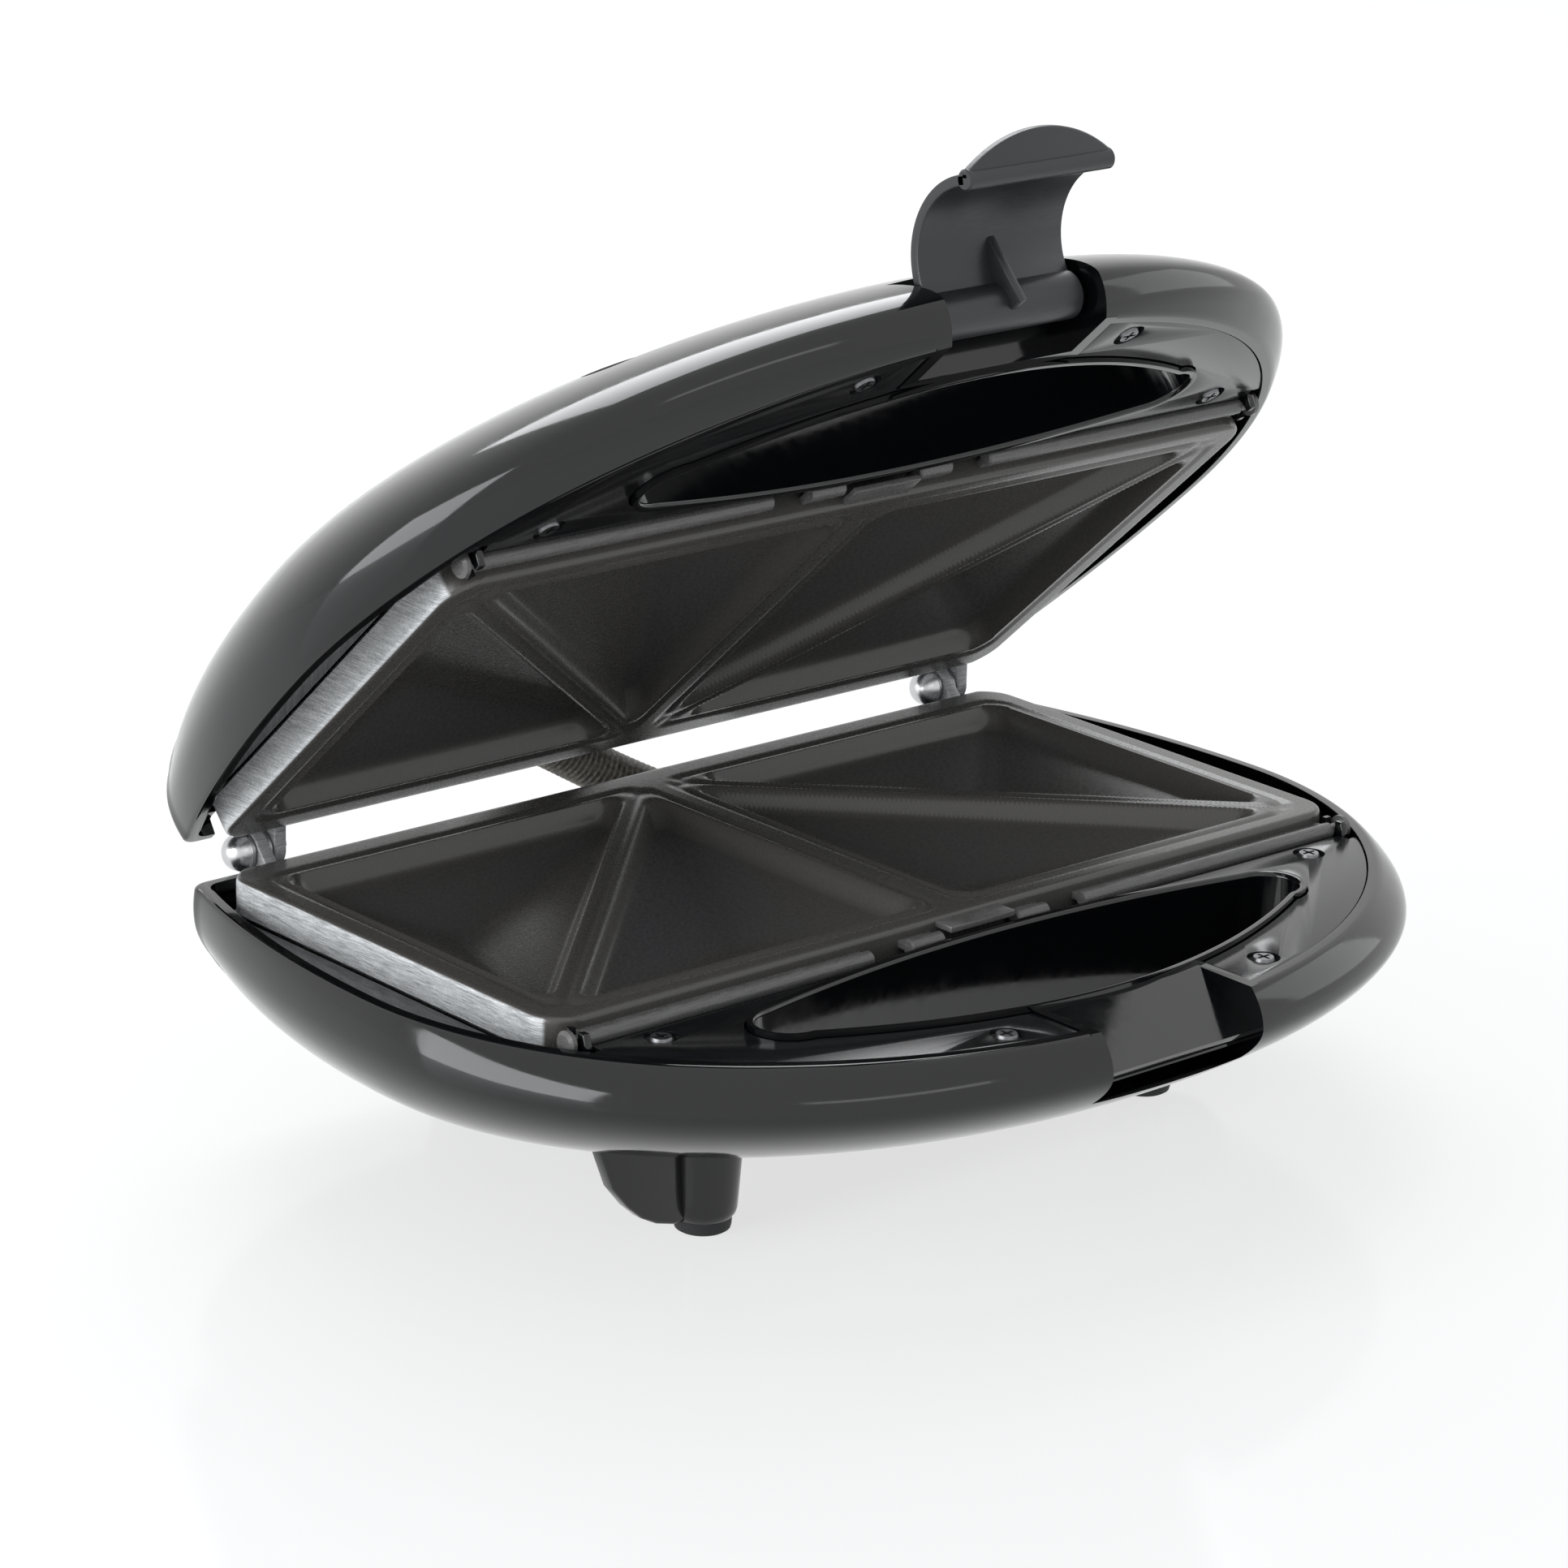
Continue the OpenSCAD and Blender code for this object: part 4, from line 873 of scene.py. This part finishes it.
class TOASTER_OT_panels(ToasterOperator, Operator):
    """Inner panels round both finger holes"""
    bl_idname = "toaster.panels"
    bl_label = "Panels"

    def build(self, s, c):
        skin = satin_panel(c)
        for half, back, extra in ((BASE_BODY, RECESS_BACK + s.wall + PANEL_FIT, 0.0),
                                  (LID_BODY, LID_BACK + s.wall + PANEL_FIT, 2.0)):
            low = s.rim_h + PANEL_DROP
            edge = body_ring(s, s.rim_h, s.base_form, s.wall + PANEL_FIT)
            slab = prism(edge, low, low + PANEL_T)
            w = s.recess_w / 2 + s.wall + PANEL_FIT + extra / 2
            cut(slab, block((-150, 150), (PANEL_BACK, 200), (0, 20)),
                block((-w, w), (-150, back), (0, 20)),
                loft([[(x, y, h) for x, y in grip_outline(s, 2.2)] for h in (0, 20)]),
                both(lambda: block((CRADLE_X - 1.3, 160), (BAR_Y - 6, BAR_Y + 2), (0, 20))))
            for x, y in SCREWS:
                cut(slab, both(lambda: rod(SCREW_SEAT_R, 0, low + 1, (x, y, 0), "Z", 48)),
                    both(lambda: rod(SCREW_HOLE_R, 0, 20, (x, y, 0), "Z", 32)))
            bevelled(slab, 0.3, 2, 55)
            finish_piece(slab, half.capitalize() + "_panel", half, skin,
                         [half + "_panel"], half_matrix(s, half))


class TOASTER_OT_plates(ToasterOperator, Operator):
    """Cast cooking plates with pyramid pockets, front bars and hinge lugs"""
    bl_idname = "toaster.plates"
    bl_label = "Cooking plates"

    def build(self, s, c):
        skin = coated_casting(c)
        for half in (BASE_BODY, LID_BODY):
            plate = self.casting(s)
            first = len(plate.data.vertices)
            extras = [self.bar(s), self.underside(s)]
            step = DOME_H + WASHER_T + 2 * LUG_GAP
            if half == LID_BODY:
                step += WASHER_T + s.lug_t + 2 * LUG_GAP
            extras += [self.lug(s, x + step) for x in s.stack_x]
            gather(plate, *extras)
            self.mark_bare(s, plate, first)
            finish_piece(plate, half.capitalize() + "_plate", half, skin,
                         [half + "_plate"], half_matrix(s, half), 40)

    def triangles(self, s):
        """The four pockets' corners."""
        x0, x1 = s.ridge_w / 2, s.plate_w / 2 - s.pocket_border
        y0, y1 = s.pocket_border - 1, s.plate_d - s.pocket_border - 2
        out = []
        for k in (1, -1):
            out.append([(k * x0, y1), (k * x1, y1), (k * x1, y0)])
            out.append([(k * x0, y1), (k * x1, y0), (k * x0, y0)])
        return out

    def depth(self, s, tris, x, y):
        """Depth of the cooking face at a point, and how far it lies inside a pocket."""
        best, d, reach = -9.0, -9.0, 1.0
        for t, size in tris:
            near = sorted(e[0] * x + e[1] * y + e[2] for e in t)
            if near[0] > best:
                # corners of a pocket are rounded by a soft minimum of its sides
                best, reach = near[0], size
                d = best - 1.6 * max(0.0, 1 - (near[1] - best) / 5.0) ** 2
        if d < s.ridge_w / 2 - 0.9:
            # a shallow groove runs along the middle of each ridge
            return 0.55 * max(0.0, 1 - abs(d - 0.2) / 1.1) if d > -0.9 else 0.0
        t = (d - (s.ridge_w / 2 - 0.9)) / 3.0
        if t < 1:
            return s.pocket_edge * t * t * (3 - 2 * t)
        run = reach - 1.6 - (s.ridge_w / 2 + 2.1)
        q = min(1.0, (d - (s.ridge_w / 2 + 2.1)) / run)
        return s.pocket_edge + (s.pocket_deep - s.pocket_edge) * q

    def casting(self, s):
        """Cooking face, sides and underside as one closed skin."""
        tris = []
        for t in self.triangles(s):
            cx = sum(p[0] for p in t) / 3
            cy = sum(p[1] for p in t) / 3
            edges = []
            for i in range(3):
                a, b = t[i], t[(i + 1) % 3]
                nx, ny = b[1] - a[1], a[0] - b[0]
                size = sqrt(nx * nx + ny * ny)
                nx, ny = nx / size, ny / size
                off = -(nx * a[0] + ny * a[1])
                if nx * cx + ny * cy + off < 0:
                    nx, ny, off = -nx, -ny, -off
                edges.append((nx, ny, off))
            sides = [sqrt((t[i][0] - t[i - 1][0]) ** 2 + (t[i][1] - t[i - 1][1]) ** 2)
                     for i in range(3)]
            half = sum(sides) / 2
            area = sqrt(half * (half - sides[0]) * (half - sides[1]) * (half - sides[2]))
            tris.append((edges, area / half))

        fillet = 1.3

        def line(size):
            ends = [0, 0.08, 0.25, 0.5, 0.85, fillet]
            n = int((size - 2 * fillet) / 0.75)
            mids = [fillet + (size - 2 * fillet) * i / n for i in range(1, n)]
            return ends + mids + [size - e for e in reversed(ends)]

        xs, ys = line(s.plate_w), line(s.plate_d)
        r = s.plate_corner
        nx, ny = len(xs), len(ys)
        top, low = [], []
        for y in ys:
            from_end = min(y, s.plate_d - y)
            shy = r - sqrt(max(0.0, r * r - (r - from_end) ** 2)) if from_end < r else 0.0
            scale = (s.plate_w / 2 - shy) / (s.plate_w / 2)
            for x in xs:
                px = (x - s.plate_w / 2) * scale
                edge = min(min(x, s.plate_w - x) * scale, from_end)
                drop = (fillet - sqrt(max(0.0, fillet ** 2 - (fillet - edge) ** 2))
                        if edge < fillet else 0.0)
                d = self.depth(s, tris, px, y)
                top.append((px, y, d + drop))
                low.append((px, y, max(s.plate_side, d + s.plate_wall)))
        faces = []
        n = nx * ny
        for j in range(ny - 1):
            for i in range(nx - 1):
                a = j * nx + i
                # h grows away from the face, so the cooking face looks towards lower h
                faces.append([a, a + nx, a + nx + 1, a + 1])
                faces.append([n + a, n + a + 1, n + a + nx + 1, n + a + nx])
        rim = ([i for i in range(nx)] + [j * nx + nx - 1 for j in range(1, ny)]
               + [(ny - 1) * nx + i for i in range(nx - 2, -1, -1)]
               + [j * nx for j in range(ny - 2, 0, -1)])
        for k, a in enumerate(rim):
            b = rim[(k + 1) % len(rim)]
            faces.append([a, b, n + b, n + a])
        return solid(top + low, faces)

    def bar(self, s):
        """Round bar with necks and end knobs along the front edge."""
        end, at = CRADLE_X - 1.2, (0, BAR_Y, BAR_H)

        def right():
            long = eased_rod(BAR_R, 29.7, end, 0.4, at, 32)
            neck = rod(NECK_R, 31, KNOB_TO - 0.5, at, steps=24)
            knob = lathe([(KNOB_R - 0.7, KNOB_FROM), (KNOB_R, KNOB_FROM + 0.5),
                          (KNOB_R, KNOB_TO - 0.6), (KNOB_R - 0.7, KNOB_TO)], at, "X", 32)
            web = bevelled(block((30, end), (BAR_Y, 1), (BAR_H - 0.8, BAR_H + 0.8)), 0.2, 2)
            stub = eased_rod(BAR_R, 10.2, 19.4, 0.4, at, 32)
            link = bevelled(block((10.5, 19.5), (BAR_Y, 1), (BAR_H - 0.8, BAR_H + 0.8)), 0.2, 2)
            return gather(long, neck, knob, web, stub, link)

        tab = bevelled(block((-9, 9), (BAR_Y - BAR_R, 1), (0.6, 2.0)), 0.3, 2)
        return gather(both(right), tab)

    def underside(self, s):
        """Heater seats and tray studs under the plate."""
        low = s.pocket_deep + 1
        seats = [block((-HEATER_X, HEATER_X), (y - 4.5, y + 4.5), (low, HEATER_H - 0.5))
                 for y in HEATER_Y]
        studs = [rod(STUD_R, low, TRAY_H - 0.8, (x, y, 0), "Z", 32) for x, y in STUDS]
        return gather(*seats, *studs)

    def lug(self, s, x):
        """Hinge lug with its bore."""
        mid_h = -s.half_gap
        at = (0, s.hinge_y, mid_h)
        tip = eased_rod(s.lug_r, x, x + s.lug_t, 0.25, at, 48)
        arm = bevelled(prism([(s.plate_d - 1, 1), (s.hinge_y - 3, mid_h - 3.2),
                              (s.hinge_y + 1.5, mid_h + 4.1), (s.plate_d - 1, s.plate_side - 0.2)],
                             x, x + s.lug_t, "X"), 0.25, 2)
        return cut(weld(tip, arm), rod(PIN_R + PIN_FIT, -200, 200, at, steps=48))

    def mark_bare(self, s, plate, first):
        """Bare metal on the sides and behind, coating on the face and the front."""
        values = []
        for i, v in enumerate(plate.data.vertices):
            x, y, h = v.co
            if i >= first:
                values.append(0.1 if y < 2 else 0.55)
            else:
                edge = min(s.plate_w / 2 - abs(x), s.plate_d - y)
                values.append(1.0 if h > 0.5 and edge < 1.2 else 0.0)
        layer = plate.data.attributes.new("bare", "FLOAT", "POINT")
        layer.data.foreach_set("value", values)


class TOASTER_OT_hinges(ToasterOperator, Operator):
    """Ball-headed hinge pins and their washers"""
    bl_idname = "toaster.hinges"
    bl_label = "Hinges"

    def build(self, s, c):
        pins, rings = [], []
        for x in s.stack_x:
            at = (0, s.hinge_y, -s.half_gap)
            ball = [(DOME_R * sin(a), x - 0.1 + DOME_R * (1 - cos(a))) for a in
                    [radians(t) for t in range(4, 96, 6)]]
            pins.append(lathe(ball + [(DOME_R, x + DOME_H), (PIN_R, x + DOME_H),
                                      (PIN_R, x + s.stack + 1.0), (PIN_R - 0.3, x + s.stack + 1.2),
                                      (1.3, x + s.stack + 1.2), (1.3, x + s.stack + 2.2),
                                      (1.0, x + s.stack + 2.4)], at, "X", 64))
            for k in (0, 1):
                start = x + DOME_H + LUG_GAP / 2 + k * (WASHER_T + s.lug_t + 2 * LUG_GAP)
                ring = lathe([(3.9, start), (4.1, start + 0.2), (4.1, start + 0.8),
                              (3.9, start + 1.0)], at, "X", 64)
                rings.append(cut(ring, rod(PIN_R + PIN_FIT, -200, 200, at, steps=48)))
        place = half_matrix(s, BASE_BODY)
        finish_piece(gather(*pins), "Hinge_pins", BASE_BODY, nickel_plate(c),
                     ["hinge_pins"], place, 40)
        finish_piece(gather(*rings), "Hinge_washers", BASE_BODY, zinc_washer(c),
                     ["hinge_washers"], place, 40)


class TOASTER_OT_latch(ToasterOperator, Operator):
    """Curved latch with its hook bead, gusset and thumb tab"""
    bl_idname = "toaster.latch"
    bl_label = "Latch"

    def build(self, s, c):
        w = s.latch_w / 2
        outer, inner = s.latch_r + s.latch_t / 2, s.latch_r - s.latch_t / 2
        steps = [ARC_FROM + (ARC_TO - ARC_FROM) * i / 60 for i in range(61)]
        arc = [on_arc(ARC_C, outer, a) for a in steps]
        arc += [on_arc(ARC_C, inner, a) for a in reversed(steps)]
        shell = bevelled(prism(arc, -w, w, "X"), 0.35, 3)
        barrel = eased_rod(BARREL_R, -w, w, 0.5, (0, 0, 0), 64)
        tip = on_arc(ARC_C, s.latch_r, ARC_TO)
        bead = eased_rod(BEAD_R, -w, w, 0.4, (0, *tip), 48)
        web = bevelled(prism([on_arc(ARC_C, s.latch_r - 1, a) for a in range(4, 47, 6)]
                             + [(-7.5, -3), (0, -3)], -1, 1, "X"), 0.25, 2)
        tab = self.tab(s, tip)
        latch = gather(shell, barrel, bead, web, tab)
        latch.data.transform(Matrix.Translation((0, AXIS_Y, AXIS_H)))
        finish_piece(latch, "Latch", LATCH_BODY, latch_nylon(c), ["latch"],
                     half_matrix(s, LID_BODY), 40)

    def tab(self, s, tip):
        """A circle segment that stands off the bead."""
        r, rise, w = 31.0, 8.5, s.latch_w / 2
        reach = min(w, sqrt(r * r - (r - rise) ** 2))
        n = 40
        xs = [-reach + 2 * reach * i / n for i in range(n + 1)]
        arc = [(x, rise - r + sqrt(max(0.0, r * r - x * x))) for x in xs]
        segment = [(xs[0], 0.0)] + [p for p in arc if p[1] > 0.02] + [(xs[-1], 0.0)]
        ob = bevelled(prism(segment, 0, 2), 0.45, 3)
        ob.data.transform(Matrix.Translation((0, *tip))
                          @ Matrix.Rotation(radians(ARC_TO - 90 + 8), 4, "X")
                          @ Matrix.Translation((0, 0.9, 0)) @ Matrix.Rotation(radians(90), 4, "X"))
        return ob


def group_socket(tree, name, kind, value=None, incoming=True):
    """A named input or output of a geometry tree."""
    socket = tree.interface.new_socket(name=name, in_out="INPUT" if incoming else "OUTPUT",
                                       socket_type=kind)
    if value is not None:
        socket.default_value = value
    return socket


def run_tree(ob, tree, values):
    """Runs a geometry tree on an object with named values and keeps the plain mesh."""
    step = ob.modifiers.new("shape", "NODES")
    step.node_group = tree
    for item in tree.interface.items_tree:
        if item.in_out == "INPUT" and item.name in values:
            step[item.identifier] = values[item.name]
    return bake(ob)


def screw_tree(material_):
    """Cross-head screws on points, one per vertex, each facing its point's own direction."""
    tree = bpy.data.node_groups.new("Cross screws", "GeometryNodeTree")
    group_socket(tree, "Geometry", "NodeSocketGeometry")
    group_socket(tree, "Head radius", "NodeSocketFloat", 0.0029)
    group_socket(tree, "Head height", "NodeSocketFloat", 0.0016)
    group_socket(tree, "Slot width", "NodeSocketFloat", 0.0007)
    group_socket(tree, "Geometry", "NodeSocketGeometry", incoming=False)
    given = add(tree, "NodeGroupInput")
    out = add(tree, "NodeGroupOutput")
    base_r = add(tree, "ShaderNodeMath", {"operation": "MULTIPLY"},
                 {0: given.outputs["Head radius"], 1: 0.78})
    head = add(tree, "GeometryNodeMeshCone", {"fill_type": "NGON"},
               {"Vertices": 40, "Side Segments": 1, "Radius Top": base_r.outputs[0],
                "Radius Bottom": given.outputs["Head radius"],
                "Depth": given.outputs["Head height"]})
    long = add(tree, "ShaderNodeMath", {"operation": "MULTIPLY"},
               {0: given.outputs["Head radius"], 1: 1.25})
    cuts = []
    for a, b in (("long", "slot"), ("slot", "long")):
        pair = {"long": long.outputs[0], "slot": given.outputs["Slot width"]}
        size = add(tree, "ShaderNodeCombineXYZ", None,
                   {"X": pair[a], "Y": pair[b], "Z": given.outputs["Head height"]})
        bar = add(tree, "GeometryNodeMeshCube", None, {"Size": size.outputs[0]})
        lift = add(tree, "ShaderNodeCombineXYZ", None, {"Z": given.outputs["Head height"]})
        move = add(tree, "GeometryNodeTransform", None,
                   {"Geometry": bar.outputs[0], "Translation": lift.outputs[0]})
        cuts.append(move.outputs[0])
    carved = add(tree, "GeometryNodeMeshBoolean", {"operation": "DIFFERENCE", "solver": "MANIFOLD"},
                 {"Mesh 1": head.outputs["Mesh"]})
    for socket in cuts:
        tree.links.new(socket, carved.inputs["Mesh 2"])
    out_of = add(tree, "GeometryNodeInputNamedAttribute", {"data_type": "FLOAT_VECTOR"},
                 {"Name": "out"})
    turn = add(tree, "FunctionNodeAlignRotationToVector", {"axis": "Z"},
               {"Vector": out_of.outputs[0]})
    laid = add(tree, "GeometryNodeInstanceOnPoints", None,
               {"Points": given.outputs["Geometry"], "Instance": carved.outputs[0],
                "Rotation": turn.outputs[0]})
    real = add(tree, "GeometryNodeRealizeInstances", None, {"Geometry": laid.outputs[0]})
    dressed = add(tree, "GeometryNodeSetMaterial", None,
                  {"Geometry": real.outputs[0], "Material": material_})
    tree.links.new(dressed.outputs[0], out.inputs[0])
    return tree


class TOASTER_OT_screws(ToasterOperator, Operator):
    """Cross-head screws of the panels"""
    bl_idname = "toaster.screws"
    bl_label = "Screws"

    def build(self, s, c):
        steel = passivated_screw(c)
        tree = screw_tree(steel)
        low = s.rim_h + PANEL_DROP - SCREW_SUNK + SCREW_HEAD
        for half in (BASE_BODY, LID_BODY):
            place = half_matrix(s, half)
            out = (place.to_3x3() @ Vector((0, 0, -1))).normalized()
            points = [place @ Vector((k * x, y, low)) for x, y in SCREWS for k in (1, -1)]
            ob = loose_points(points)
            layer = ob.data.attributes.new("out", "FLOAT_VECTOR", "POINT")
            layer.data.foreach_set("vector", list(out) * len(points))
            run_tree(ob, tree, {"Head radius": 0.0027, "Head height": SCREW_HEAD / 1000,
                                "Slot width": 0.0007})
            finish_piece(ob, half.capitalize() + "_screws", half, steel,
                         [half + "_panel_screws"])


class TOASTER_OT_sleeve(ToasterOperator, Operator):
    """Ribbed sleeve for the wires between base and lid"""
    bl_idname = "toaster.sleeve"
    bl_label = "Sleeve"

    def build(self, s, c):
        end = (SLEEVE_END_X, s.plate_d + 0.5, SLEEVE_END_H)

        def lidded(p):
            y, z = turned((p[1] - s.hinge_y, p[2] + s.half_gap), -OPEN_ANGLE)
            return (p[0], s.hinge_y + y, s.half_gap + z)

        ctrl = [(end[0], end[1], -end[2]), (6, s.hinge_y + 4.5, -9),
                lidded((-6, s.hinge_y + 4.5, 9)), lidded((-end[0], end[1], end[2]))]
        place = Matrix.Scale(0.001, 4) @ Matrix.Translation((0, -s.stance_y, s.face_z))
        pts = [place @ Vector([sum(w * p[k] for w, p in zip(
            ((1 - t) ** 3, 3 * t * (1 - t) ** 2, 3 * t * t * (1 - t), t ** 3), ctrl))
            for k in range(3)]) for t in [i / 40 for i in range(41)]]
        ob = loose_points(pts, [(i, i + 1) for i in range(40)])
        skin = woven_sleeve(c)
        run_tree(ob, self.tree(skin), {"Diameter": s.sleeve_d / 1000, "Ribs": s.sleeve_ribs,
                                       "Rib depth": 0.0005})
        ob.name = ob.data.name = "Wire_sleeve"
        ob.data.shade_smooth()
        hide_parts("wire_conduit")
        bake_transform(ob)

    def tree(self, skin):
        """A tube along the line, whose radius rises and falls once for each rib."""
        tree = bpy.data.node_groups.new("Ribbed sleeve", "GeometryNodeTree")
        group_socket(tree, "Geometry", "NodeSocketGeometry")
        group_socket(tree, "Diameter", "NodeSocketFloat", 0.011)
        group_socket(tree, "Ribs", "NodeSocketInt", 56)
        group_socket(tree, "Rib depth", "NodeSocketFloat", 0.0005)
        group_socket(tree, "Geometry", "NodeSocketGeometry", incoming=False)
        given, out = add(tree, "NodeGroupInput"), add(tree, "NodeGroupOutput")
        curve = add(tree, "GeometryNodeMeshToCurve", None, {"Mesh": given.outputs["Geometry"]})
        count = add(tree, "ShaderNodeMath", {"operation": "MULTIPLY"},
                    {0: given.outputs["Ribs"], 1: 8.0})
        fine = add(tree, "GeometryNodeResampleCurve", {"mode": "COUNT"},
                   {"Curve": curve.outputs[0], "Count": count.outputs[0]})
        along = add(tree, "GeometryNodeSplineParameter")
        phase = add(tree, "ShaderNodeMath", {"operation": "MULTIPLY"},
                    {0: along.outputs["Factor"], 1: given.outputs["Ribs"]})
        angle = add(tree, "ShaderNodeMath", {"operation": "MULTIPLY"},
                    {0: phase.outputs[0], 1: 2 * pi})
        wave = add(tree, "ShaderNodeMath", {"operation": "SINE"}, {0: angle.outputs[0]})
        swing = add(tree, "ShaderNodeMath", {"operation": "MULTIPLY"},
                    {0: wave.outputs[0], 1: given.outputs["Rib depth"]})
        radius = add(tree, "ShaderNodeMath", {"operation": "MULTIPLY"},
                     {0: given.outputs["Diameter"], 1: 0.5})
        inner = add(tree, "ShaderNodeMath", {"operation": "SUBTRACT"},
                    {0: radius.outputs[0], 1: given.outputs["Rib depth"]})
        total = add(tree, "ShaderNodeMath", {"operation": "ADD"},
                    {0: inner.outputs[0], 1: swing.outputs[0]})
        ring = add(tree, "GeometryNodeCurvePrimitiveCircle", None,
                   {"Resolution": 28, "Radius": 1.0})
        tube = add(tree, "GeometryNodeCurveToMesh", None,
                   {"Curve": fine.outputs[0], "Profile Curve": ring.outputs[0],
                    "Scale": total.outputs[0], "Fill Caps": True})
        real = add(tree, "GeometryNodeRealizeInstances", None, {"Geometry": tube.outputs[0]})
        dressed = add(tree, "GeometryNodeSetMaterial", None,
                      {"Geometry": real.outputs[0], "Material": skin})
        tree.links.new(dressed.outputs[0], out.inputs[0])
        return tree


class TOASTER_OT_feet(ToasterOperator, Operator):
    """Rubber tips of the posts and legs"""
    bl_idname = "toaster.feet"
    bl_label = "Feet"

    def build(self, s, c):
        top = s.face_z - s.foot_tip

        def right():
            r = s.foot_r - 1.1
            tip = lathe([(r, top), (r - 0.1, s.face_z - 1.2), (r - 0.3, s.face_z - 0.4),
                         (r - 0.9, s.face_z)], (s.foot_x, FOOT_Y, 0))
            pad = bevelled(block((LEG_X - 10, LEG_X + 10), (LEG_Y - 4, LEG_Y + 4),
                                 (top, s.face_z)), 0.6, 3)
            return gather(tip, pad)

        finish_piece(both(right), "Feet", BASE_BODY, rubber(c), ["rubber_feet"],
                     half_matrix(s, BASE_BODY))


class TOASTER_OT_lamps(ToasterOperator, Operator):
    """Lens caps of the two lamps on the lid"""
    bl_idname = "toaster.lamps"
    bl_label = "Lamps"

    def build(self, s, c):
        profile = [(3.6, 35.0), (3.6, 40.2), (3.35, 40.65), (2.8, 40.87), (1.8, 40.97), (0.0, 41.0)]
        caps = [lathe(profile, (x, LAMP_Y, 0)) for x in LAMP_X]
        finish_piece(gather(*caps), "Lamp_lenses", LID_BODY, lamp_lens(c),
                     ["lamp_lenses"], half_matrix(s, LID_BODY), 50)


class TOASTER_OT_hidden(ToasterOperator, Operator):
    """Finishes for the trays, heaters and small electric parts"""
    bl_idname = "toaster.hidden"
    bl_label = "Inner parts"

    def build(self, s, c):
        tray, heat, clay = aluminised_tray(c), heater_tube(c), steatite(c)
        steel, dull, black = passivated_screw(c), rubber(c), satin_panel(c)
        for node, skin in {
                "base_reflector": tray, "lid_reflector": tray, "base_heater": heat,
                "lid_heater": heat, "thermostat": clay, "thermal_fuse": clay,
                "terminal_block": clay, "base_plate_screws": steel, "lid_plate_screws": steel,
                "latch_pin": steel, "cord_gland": dull, "lamp_holder": black}.items():
            paint(node, skin)


class TOASTER_PT_panel(Panel):
    """Sizes, colours and pieces of the toaster"""
    bl_idname = "TOASTER_PT_panel"
    bl_label = "Sandwich toaster"
    bl_space_type = "VIEW_3D"
    bl_region_type = "UI"
    bl_category = "Toaster"

    def draw(self, context):
        for title, group in (("Sizes", context.scene.toaster_sizes),
                             ("Colours", context.scene.toaster_colours)):
            box = self.layout.box()
            box.label(text=title)
            for key in type(group).__annotations__:
                box.prop(group, key)
        for operator in OPERATORS:
            self.layout.operator(operator.bl_idname)


OPERATORS = (TOASTER_OT_stage, TOASTER_OT_base_housing, TOASTER_OT_lid_housing, TOASTER_OT_panels,
             TOASTER_OT_plates, TOASTER_OT_hinges, TOASTER_OT_latch, TOASTER_OT_screws,
             TOASTER_OT_sleeve, TOASTER_OT_feet, TOASTER_OT_lamps, TOASTER_OT_hidden)
CLASSES = (ToasterSizes, ToasterColours, *OPERATORS, TOASTER_PT_panel)


def register():
    for item in CLASSES:
        bpy.utils.register_class(item)
    bpy.types.Scene.toaster_sizes = PointerProperty(type=ToasterSizes)
    bpy.types.Scene.toaster_colours = PointerProperty(type=ToasterColours)


def unregister():
    del bpy.types.Scene.toaster_sizes
    del bpy.types.Scene.toaster_colours
    for item in reversed(CLASSES):
        bpy.utils.unregister_class(item)


def main():
    register()
    for operator in OPERATORS:
        group, name = operator.bl_idname.split(".")
        getattr(getattr(bpy.ops, group), name)()


if __name__ == "__main__":
    main()
